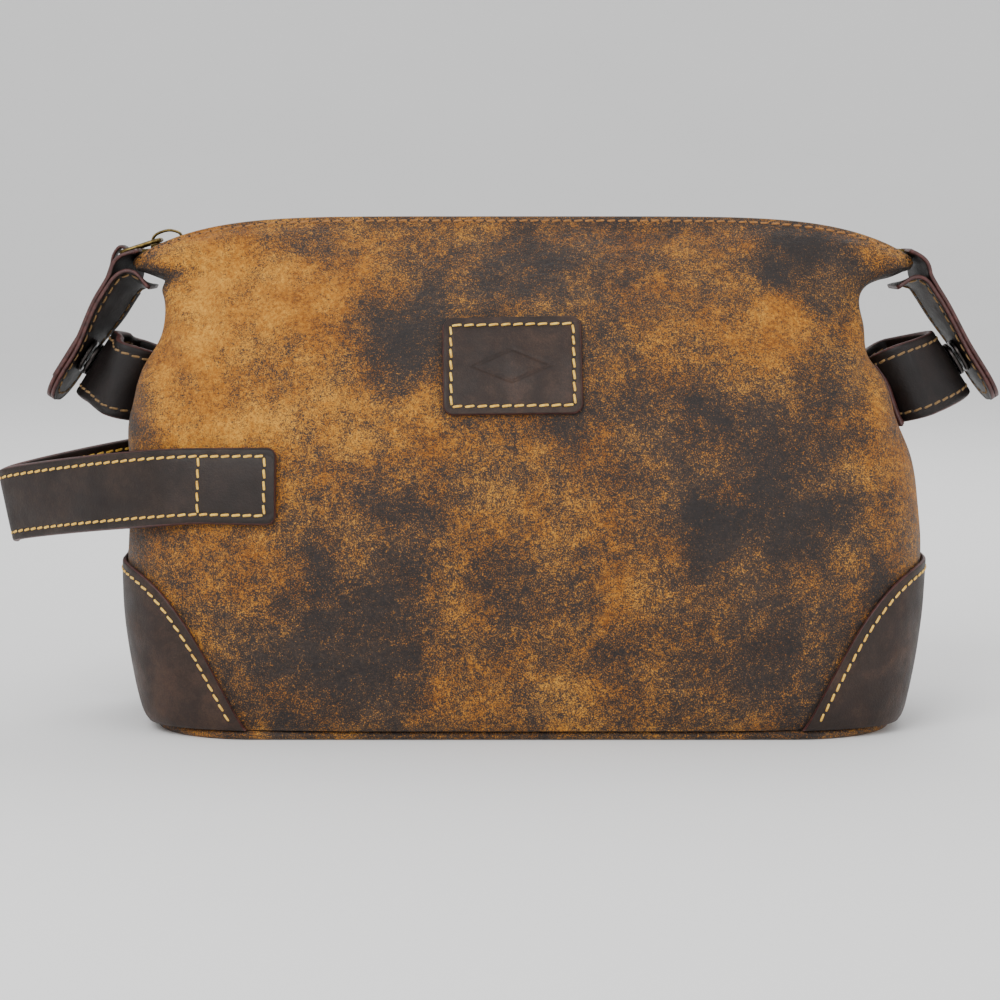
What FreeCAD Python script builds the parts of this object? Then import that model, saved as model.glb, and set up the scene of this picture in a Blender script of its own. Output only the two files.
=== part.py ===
import FreeCAD, Part
import math
import os
import Sketcher
from FreeCAD import Placement, Rotation, Vector

# A leather shaving kit bag. X runs along its length, Y is its depth with the front at -Y, Z is up.
# The origin is the middle of the face that it rests on. All lengths are in millimetres.

SIZES = {
    # the bag
    "BagHeight": 176.8,
    "EndDrop": 15.0,
    "EarReach": 137.0,
    "LeatherThick": 1.8,
    "LiningThick": 0.6,
    "LayerGap": 0.3,
    "LiningGap": 1.1,
    # the bottom
    "BottomHalfLength": 128.0,
    "BottomHalfDepth": 57.0,
    "BottomThick": 3.0,
    "BottomCorner": 36.0,
    "BottomEdge": 1.2,
    "BoardThick": 2.0,
    # the corner boots
    "BootTop": 58.8,
    "BootFrontRun": 66.0,
    "BootThick": 1.5,
    "BootGap": 0.45,
    # the label patch
    "LabelLong": 46.9,
    "LabelHigh": 33.5,
    "LabelMidX": -4.0,
    "LabelMidZ": 125.5,
    "LabelThick": 1.8,
    "LabelCorner": 3.3,
    # the zip
    "ChainMidZ": 174.0,
    "ChainRadius": 886.0,
    "ChainReach": 131.5,
    "CoilGap": 1.0,
    "CoilWide": 2.2,
    "CoilThick": 1.8,
    "TapeThick": 0.7,
    "SliderRestX": -125.0,
    "SliderLong": 12.0,
    "SliderWide": 8.6,
    "SliderHigh": 5.0,
    "ChannelWide": 7.0,
    "ChannelHigh": 2.8,
    "TapeSlot": 1.3,
    "WedgeWide": 1.5,
    "BailRise": 4.6,
    "BailWire": 1.4,
    "BailWide": 3.0,
    "RingPivotX": -2.6,
    "RingPivotZ": 3.6,
    "RingReach": 14.2,
    "RingWide": 12.0,
    "RingWire": 1.5,
    "RingSlope": 18.0,
    "PullerSlope": 60.5,
    "PullerLoop": 2.6,
    "PullerLong": 50.0,
    "PullerWide": 8.0,
    "PullerThick": 2.4,
    # the two-ply tabs at both ends
    "PlyThick": 1.4,
    "PlyGap": 0.5,
    "TabWide": 25.0,
    "TabLong": 54.0,
    "TabHingeX": 137.8,
    "TabHingeZ": 158.0,
    "TabTipRound": 11.0,
    "TabSlope": 57.5,
    "SnapAlong": 34.6,
    "WasherRadius": 5.0,
    "SnapRadius": 6.2,
    "SnapThick": 1.6,
    # the side straps
    "StrapHalfSpan": 24.0,
    "StrapTopX": 143.4,
    "StrapTopZ": 136.0,
    "StrapLowX": 157.5,
    "StrapLowZ": 114.0,
    # the carrying handle
    "HandleWide": 26.0,
    "HandleFootNear": 111.0,
    "HandleFootFar": 82.0,
    "HandleMidZ": 86.0,
    "HandleTipX": 183.0,
    "HandleTipZ": 74.0,
}

doc = FreeCAD.newDocument("ShavingKitBag")
sheet = doc.addObject("Spreadsheet::Sheet", "Sizes")
for row, (alias, number) in enumerate(SIZES.items(), start=1):
    sheet.set(f"A{row}", alias)
    sheet.set(f"B{row}", str(number))
    sheet.setAlias(f"B{row}", alias)
doc.recompute()

NODES = []


def size(alias):
    """The plain number in the sheet's cell of that name."""
    return float(sheet.get(alias))


def keep(thing, label, placement=None):
    """Names a finished sub-part and puts it in its place."""
    thing.Label = label
    if placement is not None:
        thing.Placement = placement
    NODES.append(thing)
    return thing


# ---------------------------------------------------------------- the bag's outer surface

# One row per level, bottom to top: height at the middle, height at the ends, half depth, half length,
# squareness of the plan, depth of the end pleat, and how far the row widens towards the ears.
LEVELS = [
    (3.2, 3.2, 58.5, 129.0, 5.0, 0.0, 0.0),
    (9.0, 9.0, 60.5, 132.0, 4.8, 0.0, 0.0),
    (30.0, 30.0, 61.7, 136.5, 4.5, 0.0, 0.0),
    (57.0, 57.0, 62.0, 139.0, 4.2, 0.0, 0.0),
    (84.0, 84.0, 59.5, 138.0, 4.0, 2.5, 0.0),
    (107.0, 105.0, 53.5, 133.5, 4.0, 7.0, 0.0),
    (127.0, 122.0, 45.0, 127.5, 3.8, 12.0, 0.0),
    (142.5, 136.0, 35.5, 123.0, 3.6, 15.0, 0.0),
    (155.0, 148.0, 25.5, 122.5, 3.4, 12.0, 0.15),
    (164.5, 154.8, 17.5, 127.5, 3.4, 6.0, 0.5),
    (171.5, 157.4, 11.3, 135.8, 3.8, 0.0, 1.0),
    (SIZES["BagHeight"], SIZES["BagHeight"] - SIZES["EndDrop"], 7.0, SIZES["EarReach"], 4.2, 0.0, 1.2),
]
TOP_LEVEL = len(LEVELS) - 1
PLEAT_SHARE = 0.36
# The left end is fuller than the right one beside its pleat, between these heights.
LEFT_FULL = 7.5
LEFT_FULL_LOW = (78.0, 118.0)
LEFT_FULL_HIGH = (150.0, 157.0)
LEFT_FULL_ACROSS = (0.22, 0.50)
LEFT_FULL_ALONG = (30.0, 115.0)
END_GAP = 0.1
COLUMNS = 32
ROWS = 24


def level_value(level, column):
    """A LEVELS column at a level that may lie between two rows, by a Catmull-Rom curve."""
    i = min(int(level), TOP_LEVEL - 1)
    rest = level - i
    a, b, c, d = (LEVELS[min(max(i + k, 0), TOP_LEVEL)][column] for k in (-1, 0, 1, 2))
    bend = 2 * a - 5 * b + 4 * c - d
    return b + 0.5 * rest * (c - a + rest * (bend + rest * (3 * (b - c) + d - a)))


def soft_step(limits, value):
    """0 below the lower limit, 1 above the upper, and a smooth rise between them."""
    low, high = limits
    share = min(max((value - low) / (high - low), 0.0), 1.0)
    return share * share * (3 - 2 * share)


def left_fullness(x, across, z):
    """How much further left the left half stands at a point. across is its share of the half depth."""
    if x > 0:
        return 0.0
    rise = soft_step(LEFT_FULL_LOW, z) * (1 - soft_step(LEFT_FULL_HIGH, z))
    return LEFT_FULL * rise * soft_step(LEFT_FULL_ACROSS, across) * soft_step(LEFT_FULL_ALONG, -x)


def skin_point(level, turn, side):
    """A point of the outer surface. turn goes from -90 degrees at the left end to 90; side is -1 in front."""
    mid_z, end_z, depth, length, square, pleat, flare = (level_value(level, k) for k in range(7))
    sine = math.sin(math.radians(turn))
    cosine = max(math.cos(math.radians(turn)), 0.0)
    reach = (abs(sine) ** square + cosine**square) ** (-1 / square)
    along, across = sine * reach, cosine * reach
    fold = pleat * math.exp(-((across / PLEAT_SHARE) ** 2)) if abs(turn) > 30 else 0.0
    x = length * along - math.copysign(fold, sine)
    y = side * depth * across * (1 + flare * abs(along) ** 4)
    z = mid_z - (mid_z - end_z) * abs(along) ** 6
    return Vector(x - left_fullness(x, across, z), y, z)


def skin_normal(level, turn, side):
    """The outward direction at a point of the outer surface."""
    low, high = max(level - 0.02, 0), min(level + 0.02, TOP_LEVEL)
    left, right = max(turn - 0.4, -90), min(turn + 0.4, 90)
    up = skin_point(high, turn, side) - skin_point(low, turn, side)
    along = skin_point(level, right, side) - skin_point(level, left, side)
    normal = (along.cross(up) * -side).normalize()
    if abs(turn) == 90:
        normal = Vector(normal.x, 0, normal.z).normalize()
    return normal


def skin_offset(level, turn, side, inward):
    """A point of the outer surface moved inward along its normal, but not across the middle plane."""
    surface = skin_point(level, turn, side)
    point = surface - skin_normal(level, turn, side) * inward
    point.y = side * max(side * point.y, END_GAP)
    return point


def surface_through(grid):
    """A smooth surface through a grid of points."""
    surface = Part.BSplineSurface()
    surface.interpolate(grid)
    return surface


def rim_curves(surface):
    """The four edges of a surface, in a fixed order."""
    low_u, high_u, low_v, high_v = surface.bounds()
    curves = [surface.uIso(low_u), surface.uIso(high_u), surface.vIso(low_v), surface.vIso(high_v)]
    return [curve.toShape() for curve in curves]


def thick_solid(outer_grid, inner_grid):
    """A closed solid between two grids of points: two smooth faces, and ruled faces round their edges."""
    outer, inner = surface_through(outer_grid), surface_through(inner_grid)
    faces = [outer.toShape(), inner.toShape()]
    for one, other in zip(rim_curves(outer), rim_curves(inner)):
        faces.append(Part.makeRuledSurface(one, other))
    shell = Part.makeShell(faces)
    shell.sewShape()
    solid = Part.makeSolid(shell)
    if solid.Volume < 0:
        solid.reverse()
    return solid


def formed(label, outer_grid, inner_grid):
    """A sub-part whose shape is a formed sheet."""
    feature = doc.addObject("Part::Feature", label)
    feature.Shape = thick_solid(outer_grid, inner_grid)
    return keep(feature, label, Placement())


def panel(label, side, first, last, out, thick):
    """One side's sheet between two levels, its outer face moved inward by out."""
    levels = [first + (last - first) * k / ROWS for k in range(ROWS + 1)]
    turns = [180 * k / COLUMNS - 90 for k in range(COLUMNS + 1)]
    grids = []
    for inward in (out, out + thick):
        grids.append([[skin_offset(v, a, side, inward) for a in turns] for v in levels])
    formed(label, *grids)


def level_at(height):
    """The level whose middle stands at this height."""
    low, high = 0.0, float(TOP_LEVEL)
    for _ in range(40):
        middle = (low + high) / 2
        if level_value(middle, 0) < height:
            low = middle
        else:
            high = middle
    return low


def turn_at(level, x, limit=74.0):
    """The turn, no further than the limit, where the front's outer surface reaches this x."""
    low, high = -limit, limit
    for _ in range(40):
        middle = (low + high) / 2
        if skin_point(level, middle, -1).x < x:
            low = middle
        else:
            high = middle
    return low


def around_point(level, around, mirror, inward):
    """As skin_offset, but around runs from 0 at the front's middle, past 90 at one end, to 180."""
    side = -1 if around <= 90 else 1
    turn = mirror * (around if around <= 90 else 180 - around)
    return skin_point(level, turn, side) - skin_normal(level, turn, side) * inward


# ---------------------------------------------------------------- helpers for bodies made of sketches

def new_body(label, placement=None):
    """An empty body, kept as a sub-part."""
    body = doc.addObject("PartDesign::Body", label)
    return keep(body, label, placement or Placement())


def new_sketch(body, plane):
    """A sketch on one of the body's own planes: XY, XZ or YZ."""
    sketch = body.newObject("Sketcher::SketchObject", body.Label + "_sketch")
    origin_plane = next(f for f in body.Origin.OriginFeatures if f.Role == plane + "_Plane")
    sketch.AttachmentSupport = [(origin_plane, "")]
    sketch.MapMode = "FlatFace"
    return sketch


def bind(sketch, constraint, name, expression):
    """Adds a constraint whose value comes from the sheet."""
    index = sketch.addConstraint(constraint)
    sketch.renameConstraint(index, name)
    sketch.setExpression("Constraints." + name, expression)


def rectangle(sketch, left, right, low, high):
    """A rectangle whose four sides are placed from the origin by expressions."""
    corners = [Vector(-1, -1, 0), Vector(1, -1, 0), Vector(1, 1, 0), Vector(-1, 1, 0)]
    first = sketch.GeometryCount
    for k in range(4):
        sketch.addGeometry(Part.LineSegment(corners[k], corners[(k + 1) % 4]), False)
    for k in range(4):
        sketch.addConstraint(Sketcher.Constraint("Coincident", first + k, 2, first + (k + 1) % 4, 1))
        direction = "Horizontal" if k % 2 == 0 else "Vertical"
        sketch.addConstraint(Sketcher.Constraint(direction, first + k))
    tag = f"r{first}_"
    bind(sketch, Sketcher.Constraint("DistanceX", -1, 1, first, 1, -1.0), tag + "left", left)
    bind(sketch, Sketcher.Constraint("DistanceX", -1, 1, first + 1, 2, 1.0), tag + "right", right)
    bind(sketch, Sketcher.Constraint("DistanceY", -1, 1, first, 1, -1.0), tag + "low", low)
    bind(sketch, Sketcher.Constraint("DistanceY", -1, 1, first + 1, 2, 1.0), tag + "high", high)


def circle(sketch, radius, x="0"):
    """A circle of this radius, x along the sketch from its origin."""
    index = sketch.addGeometry(Part.Circle(Vector(1, 0, 0), Vector(0, 0, 1), 1), False)
    bind(sketch, Sketcher.Constraint("Radius", index, 1.0), f"c{index}_radius", radius)
    bind(sketch, Sketcher.Constraint("DistanceX", -1, 1, index, 3, 1.0), f"c{index}_x", x)
    bind(sketch, Sketcher.Constraint("DistanceY", -1, 1, index, 3, 1.0), f"c{index}_y", "0")


def polygon(sketch, points):
    """A closed outline of straight runs."""
    corners = [Vector(x, y, 0) for x, y in points]
    for start, end in zip(corners, corners[1:] + corners[:1]):
        sketch.addGeometry(Part.LineSegment(start, end), False)


def pad(body, sketch, length, midplane=False, reverse=False):
    """Pads a sketch by an expression."""
    feature = body.newObject("PartDesign::Pad", body.Label + "_pad")
    feature.Profile = sketch
    feature.setExpression("Length", length)
    feature.Midplane = midplane
    feature.Reversed = reverse
    doc.recompute()
    return feature


def pocket_through(body, sketch):
    """Cuts a sketch through the whole body, both ways."""
    before = body.Shape.Volume
    feature = body.newObject("PartDesign::Pocket", body.Label + "_pocket")
    feature.Profile = sketch
    feature.Type = "ThroughAll"
    feature.Midplane = True
    doc.recompute()
    assert body.Shape.Volume < before, f"the pocket in {body.Label} cuts nothing"
    return feature


def round_edges(body, radius, chosen):
    """Fillets the edges that chosen accepts, given each edge's middle point."""
    tip = body.Tip
    names = []
    for k, edge in enumerate(tip.Shape.Edges, start=1):
        middle = edge.valueAt((edge.FirstParameter + edge.LastParameter) / 2)
        if chosen(edge, middle):
            names.append(f"Edge{k}")
    feature = body.newObject("PartDesign::Fillet", body.Label + "_fillet")
    feature.Base = (tip, names)
    feature.setExpression("Radius", radius)
    doc.recompute()
    return feature


def upright(edge, middle):
    """True for a straight edge along Z."""
    return abs((edge.Vertexes[0].Point - edge.Vertexes[-1].Point).normalize().z) > 0.99


# ---------------------------------------------------------------- the bag

def make_panels():
    """Leather and lining of the front and the back."""
    leather, lining, gap = size("LeatherThick"), size("LiningThick"), size("LiningGap")
    for name, side in (("front", -1), ("back", 1)):
        panel(name + "_panel", side, 0.0, TOP_LEVEL, 0.0, leather)
        panel(name + "_lining", side, 0.35, TOP_LEVEL - 2.6, leather + gap, lining)


def make_bottom_layer(label, inset, low, thick, edge_round):
    """One flat layer of the bottom, inset from the outer one, from a height upwards."""
    body = new_body(label)
    sketch = new_sketch(body, "XY")
    long_side = f"(Sizes.BottomHalfLength - {inset})"
    short_side = f"(Sizes.BottomHalfDepth - {inset})"
    rectangle(sketch, "-" + long_side, long_side, "-" + short_side, short_side)
    pad(body, sketch, thick)
    round_edges(body, f"Sizes.BottomCorner - {inset}", upright)
    if edge_round:
        round_edges(body, "Sizes.BottomEdge", lambda edge, middle: middle.z < 0.01)
    body.setExpression("Placement.Base.z", low)


def make_bottom():
    """The leather bottom that the bag rests on, its stiffening board and its lining."""
    make_bottom_layer("bottom_panel", "0", "0", "Sizes.BottomThick", True)
    make_bottom_layer("base_board", "4.5", "Sizes.BottomThick + 0.4", "Sizes.BoardThick", False)
    above = "Sizes.BottomThick + Sizes.BoardThick + 0.55"
    make_bottom_layer("bottom_lining", "5", above, "Sizes.LiningThick", False)


BOOT_START = 37.25
BOOT_SWEEP = 3.9
BOOT_COLUMNS = 44
BOOT_ROWS = 10


def make_boot(label, mirror):
    """A patch wrapped round one lower end. Its top edge sweeps up from the bottom, then runs level."""
    low_z = level_value(0, 0) + 0.1
    top_z, run = size("BootTop"), size("BootFrontRun")
    half = [BOOT_START + (90 - BOOT_START) * k / (BOOT_COLUMNS // 2) for k in range(BOOT_COLUMNS // 2 + 1)]
    lengths = [0.0]
    for one, other in zip(half, half[1:]):
        lengths.append(lengths[-1] + (skin_point(2, other, -1) - skin_point(2, one, -1)).Length)
    heights = []
    for length in lengths:
        share = min(length / run, 1.0)
        heights.append(max(top_z - (top_z - low_z) * (1 - share) ** BOOT_SWEEP, low_z + 1.2))
    arounds = half + [180 - a for a in reversed(half[:-1])]
    heights += list(reversed(heights[:-1]))
    grids = []
    for out in (size("BootGap") + size("BootThick"), size("BootGap")):
        grid = []
        for k in range(BOOT_ROWS + 1):
            line = []
            for around, height in zip(arounds, heights):
                level = level_at(low_z + (height - low_z) * k / BOOT_ROWS)
                point = around_point(level, around, mirror, -out)
                point.z = max(point.z, size("BottomThick") + size("LayerGap") + 0.02 * k)
                line.append(point)
            grid.append(line)
        grids.append(grid)
    formed(label, *grids)


def front_patch(x_low, x_high, z_low, z_high, side, near, far):
    """Outer and inner grids of a patch on the front or back, from near to far outside the leather."""
    grids = []
    for out in (far, near):
        grid = []
        for i in range(9):
            level = level_at(z_low + (z_high - z_low) * i / 8)
            line = []
            for k in range(11):
                turn = turn_at(level, x_low + (x_high - x_low) * k / 10)
                line.append(skin_offset(level, turn, side, -out))
            grid.append(line)
        grids.append(grid)
    return grids


def make_label():
    """The plain patch sewn to the front, with rounded corners."""
    long_side, middle_x = size("LabelLong"), size("LabelMidX")
    rise = size("LabelHigh") * 0.93 / 2
    near, far = size("LayerGap"), size("LayerGap") + size("LabelThick")
    low_x, high_x = middle_x - long_side / 2, middle_x + long_side / 2
    low_z, high_z = size("LabelMidZ") - rise, size("LabelMidZ") + rise
    blank = thick_solid(*front_patch(low_x - 1, high_x + 1, low_z - 1, high_z + 1, -1, near, far))
    block = Part.makeBox(long_side, 60, 2 * rise, Vector(low_x, -80, low_z))
    corners = [e for e in block.Edges if abs(e.Vertexes[0].Y - e.Vertexes[-1].Y) > 1]
    cutter = block.makeFillet(size("LabelCorner"), corners)
    feature = doc.addObject("Part::Feature", "label_patch")
    feature.Shape = blank.common(cutter).Solids[0]
    keep(feature, "label_patch", Placement())


# ---------------------------------------------------------------- the zip

def chain_height(x):
    """The height of the zip's middle line at this x: an arc."""
    radius = size("ChainRadius")
    return size("ChainMidZ") - radius + math.sqrt(radius**2 - x**2)


def on_chain(x, lift=0.0):
    """The placement of a piece that sits on the zip's middle line."""
    tilt = math.degrees(math.asin(x / size("ChainRadius")))
    return Placement(Vector(x, 0, chain_height(x)), Rotation(Vector(0, 1, 0), tilt)) * Placement(
        Vector(0, 0, lift), Rotation()
    )


def make_chain_half(label, side):
    """One half of the zip's coil, an arc along the top of the bag."""
    body = new_body(label)
    sketch = new_sketch(body, "YZ")
    near, far = "Sizes.CoilGap", "(Sizes.CoilGap + Sizes.CoilWide)"
    left, right = (near, far) if side > 0 else ("-" + far, "-" + near)
    middle = "Sizes.ChainRadius"
    rectangle(sketch, left, right, middle + " - Sizes.CoilThick / 2", middle + " + Sizes.CoilThick / 2")
    turn = body.newObject("PartDesign::Revolution", label + "_arc")
    turn.Profile = sketch
    turn.ReferenceAxis = (sketch, ["H_Axis"])
    turn.setExpression("Angle", "2 * asin(Sizes.ChainReach / Sizes.ChainRadius)")
    turn.Midplane = True
    doc.recompute()
    body.setExpression("Placement.Base.z", "Sizes.ChainMidZ - Sizes.ChainRadius")


TAPE_TURN = 86.0


def make_tape(label, side):
    """One half of the zip's tape, from beside the coil up to the inner face of the leather."""
    reach, thick = size("ChainReach"), size("TapeThick")
    beside = size("CoilGap") + size("CoilWide") + 0.1
    under = size("LeatherThick") + size("LayerGap")
    upper, lower = [], []
    for k in range(25):
        x = reach * (k / 12 - 1)
        level = TOP_LEVEL - 0.7
        edge = skin_offset(level, turn_at(level, x, TAPE_TURN), side, under)
        start = Vector(x, side * beside, chain_height(x) + thick / 2)
        knee = Vector(x, side * (beside + 1.8), chain_height(x) + thick / 2)
        line = []
        for share in (0.0, 0.25, 0.5, 0.75, 1.0):
            one, other = start + (knee - start) * share, knee + (edge - knee) * share
            line.append(one + (other - one) * share)
        upper.append(line)
        lower.append([point - Vector(0, 0, thick) for point in line])
    formed(label, upper, lower)


def make_zip_stop(label, mirror):
    """The small metal stop past each end of the coil."""
    body = new_body(label, on_chain(mirror * (size("ChainReach") + 1.6)))
    sketch = new_sketch(body, "XY")
    wide = "(Sizes.CoilGap + Sizes.CoilWide)"
    rectangle(sketch, "-1", "1", "-" + wide, wide)
    pad(body, sketch, "Sizes.CoilThick + 0.6", midplane=True)


def make_slider():
    """The slider's body with its channel for the coil and the tapes, its wedge and its bail."""
    place = on_chain(size("SliderRestX"))
    body = new_body("zip_slider_body", place)
    sketch = new_sketch(body, "XY")
    long_half, wide_half = "Sizes.SliderLong / 2", "Sizes.SliderWide / 2"
    rectangle(sketch, "-" + long_half, long_half, "-" + wide_half, wide_half)
    pad(body, sketch, "Sizes.SliderHigh", midplane=True)
    channel = new_sketch(body, "YZ")
    slot = "Sizes.ChannelWide / 2"
    rectangle(channel, "-" + slot, slot, "-Sizes.ChannelHigh / 2", "Sizes.ChannelHigh / 2")
    pocket_through(body, channel)
    sides = new_sketch(body, "YZ")
    rectangle(sides, "-(Sizes.SliderWide)", "Sizes.SliderWide", "-Sizes.TapeSlot / 2", "Sizes.TapeSlot / 2")
    before = body.Shape
    cut = body.newObject("PartDesign::Pocket", "zip_slider_tape_slot")
    cut.Profile = sides
    cut.Type = "ThroughAll"
    cut.Midplane = True
    wedge = new_sketch(body, "XY")
    nose = "-Sizes.SliderLong / 2 + "
    rectangle(wedge, nose + "0.5", nose + "3", "-Sizes.WedgeWide / 2", "Sizes.WedgeWide / 2")
    body.AllowCompound = True
    pad(body, wedge, "Sizes.ChannelHigh + 0.4", midplane=True)
    assert body.Shape.Volume < before.Volume and len(body.Shape.Solids) == 1

    bail = new_body("zip_slider_bail", place)
    arch = new_sketch(bail, "XZ")
    foot, wire = size("SliderHigh") / 2 + 0.02, size("BailWire")
    top = foot + size("BailRise")
    back, front = -5.9, 5.6
    outside = [(back, foot), (back, foot + 2.0), (-3.2, top - 0.9), (1.2, top), (4.2, top - 1.1)]
    outside += [(front, foot + 1.6), (front, foot)]
    inside = [(front - wire, foot), (front - wire, foot + 1.2), (3.4, top - 1.1 - wire), (1.2, top - wire)]
    inside += [(-2.6, top - 0.9 - wire), (back + wire, foot + 1.2), (back + wire, foot)]
    polygon(arch, outside + inside)
    pad(bail, arch, "Sizes.BailWide", midplane=True)


def ring_pivot():
    """The middle of the ring's near bar, inside the bail."""
    return on_chain(size("SliderRestX")).multVec(Vector(size("RingPivotX"), 0, size("RingPivotZ")))


def down_left(degrees):
    """A direction that many degrees below the left."""
    return Vector(-math.cos(math.radians(degrees)), 0, -math.sin(math.radians(degrees)))


def along_left(start, degrees):
    """A placement whose local X points that many degrees below the left, with local Y across the bag."""
    return Placement(start, Rotation(down_left(degrees), Vector(0, -1, 0), Vector(), "XYZ"))


def make_ring():
    """The flat oval ring that swings in the bail, and the strip of leather looped round it."""
    ring = new_body("pull_ring", along_left(ring_pivot(), size("RingSlope")))
    sketch = new_sketch(ring, "XY")
    half_wire = "Sizes.RingWire / 2"
    half_wide = "Sizes.RingWide / 2"
    rectangle(sketch, "-" + half_wire, "Sizes.RingReach + " + half_wire, "-" + half_wide, half_wide)
    inner = "(Sizes.RingWide / 2 - Sizes.RingWire)"
    rectangle(sketch, half_wire, "Sizes.RingReach - " + half_wire, "-" + inner, inner)
    pad(ring, sketch, "Sizes.RingWire", midplane=True)
    round_edges(ring, "2", upright_corner)

    loop_middle = ring_pivot() + down_left(size("RingSlope")) * size("RingReach")
    puller = new_body("leather_puller", along_left(loop_middle, size("PullerSlope")))
    loop = new_sketch(puller, "XZ")
    circle(loop, "Sizes.PullerLoop")
    circle(loop, "Sizes.PullerLoop - Sizes.PullerThick / 2")
    pad(puller, loop, "Sizes.PullerWide", midplane=True)
    strip = new_sketch(puller, "XZ")
    half = "Sizes.PullerThick / 2"
    rectangle(strip, "Sizes.PullerLoop - 0.6", "Sizes.PullerLong", "-" + half, half)
    pad(puller, strip, "Sizes.PullerWide", midplane=True)
    assert len(puller.Shape.Solids) == 1


def upright_corner(edge, middle):
    """True for the ring's outer corners."""
    return upright(edge, middle) and abs(middle.y) > size("RingWide") / 2 - 0.1


# ---------------------------------------------------------------- the tabs at both ends

def tab_frame(mirror, along=0.0, out=0.0):
    """A placement on a tab: local X runs down the tab from its hinge, local Z points away from the bag."""
    slope = math.radians(size("TabSlope"))
    down = Vector(mirror * math.cos(slope), 0, -math.sin(slope))
    outward = Vector(mirror * math.sin(slope), 0, math.cos(slope))
    hinge = Vector(mirror * size("TabHingeX"), 0, size("TabHingeZ"))
    across = outward.cross(down)
    return Placement(hinge + down * along + outward * out, Rotation(down, across, outward, "XYZ"))


def make_ply(label, mirror, out):
    """One ply of a tab: a strip with a round tip."""
    body = new_body(label, tab_frame(mirror, 0, out))
    sketch = new_sketch(body, "XY")
    half = "Sizes.TabWide / 2"
    rectangle(sketch, "1", "Sizes.TabLong", "-" + half, half)
    pad(body, sketch, "Sizes.PlyThick")
    far = size("TabLong") - 1
    round_edges(body, "Sizes.TabTipRound", lambda edge, middle: upright(edge, middle) and middle.x > far)


def make_disc(label, place, radius, thick):
    """A flat round disc standing on its placement's local XY plane."""
    body = new_body(label, place)
    sketch = new_sketch(body, "XY")
    circle(sketch, radius)
    pad(body, sketch, thick)


# Where each grip on an ear starts and ends, as x and z on the right-hand side.
GRIP_ABOVE = ((135.2, 163.5), (138.9, 160.9))
GRIP_BELOW = ((130.2, 153.4), (137.0, 155.2))


def make_tab_anchor(label, mirror):
    """The upper ends of the two plies, which grip the ear of the bag from above and below."""
    wide, thick = size("TabWide"), size("PlyThick")
    solids = []
    for (inner_x, inner_z), (outer_x, outer_z) in (GRIP_ABOVE, GRIP_BELOW):
        start, end = Vector(mirror * inner_x, 0, inner_z), Vector(mirror * outer_x, 0, outer_z)
        direction = (end - start).normalize()
        place = Placement(start, Rotation(direction, Vector(0, 1, 0), Vector(), "XYZ"))
        corner = Vector(0, -wide / 2, 0 if mirror > 0 else -thick)
        box = Part.makeBox((end - start).Length, wide, thick, corner)
        box.Placement = place
        solids.append(box)
    feature = doc.addObject("Part::Feature", label)
    feature.Shape = Part.makeCompound(solids)
    keep(feature, label, Placement())


def make_tab(name, mirror):
    """A tab: two plies, the washer between them and the magnetic stud inside."""
    gap, thick = size("PlyGap"), size("PlyThick")
    make_ply(name + "_tab_outer_ply", mirror, gap / 2)
    make_ply(name + "_tab_inner_ply", mirror, -gap / 2 - thick)
    along = size("SnapAlong")
    washer = tab_frame(mirror, along, -gap / 2 + 0.05)
    make_disc(name + "_tab_snap_washer", washer, "Sizes.WasherRadius", "Sizes.PlyGap - 0.1")
    stud_out = -gap / 2 - thick - 0.05 - size("SnapThick")
    make_disc(name + "_tab_magnet", tab_frame(mirror, along, stud_out), "Sizes.SnapRadius", "Sizes.SnapThick")
    make_tab_anchor(name + "_tab_anchor", mirror)


# ---------------------------------------------------------------- the side straps

STRAP_COLUMNS = 16
STRAP_ROWS = 4
# How far the upper and lower edges of a strap come back towards the bag, and drop, at its two ends.
STRAP_TOP_BACK, STRAP_TOP_DROP = 19.5, 5.0
STRAP_LOW_BACK, STRAP_LOW_DROP = 23.5, 9.0


def strap_point(share, across):
    """The middle of a right-hand strap. share is -1 at its front end to 1 at its back, across 0 to 1 down."""
    arch = abs(share) ** 2.3
    fall = share**2
    y = size("StrapHalfSpan") * share
    top = Vector(size("StrapTopX") - STRAP_TOP_BACK * arch, y, size("StrapTopZ") - STRAP_TOP_DROP * fall)
    low = Vector(size("StrapLowX") - STRAP_LOW_BACK * arch, y, size("StrapLowZ") - STRAP_LOW_DROP * fall)
    return top + (low - top) * across


def strap_grid(mirror, out):
    """The grid of points of a strap's surface, out away from its middle."""
    step = 0.01
    grid = []
    for k in range(STRAP_COLUMNS + 1):
        share = 2 * k / STRAP_COLUMNS - 1
        down = strap_point(share, 1) - strap_point(share, 0)
        line = []
        for i in range(STRAP_ROWS + 1):
            across = i / STRAP_ROWS
            along = strap_point(share + step, across) - strap_point(share - step, across)
            normal = down.cross(along).normalize()
            if normal.x < 0:
                normal = normal * -1
            moved = strap_point(share, across) + normal * out
            depth = level_value(level_at(moved.z), 2)
            moved.x = mirror * moved.x
            moved.x -= left_fullness(moved.x, abs(moved.y) / depth, moved.z)
            line.append(moved)
        grid.append(line)
    return grid


STRAP_FOOT_LOW, STRAP_FOOT_HIGH = 106.0, 128.0
STRAP_FOOT_TURNS = (82.0, 70.0)


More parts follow.
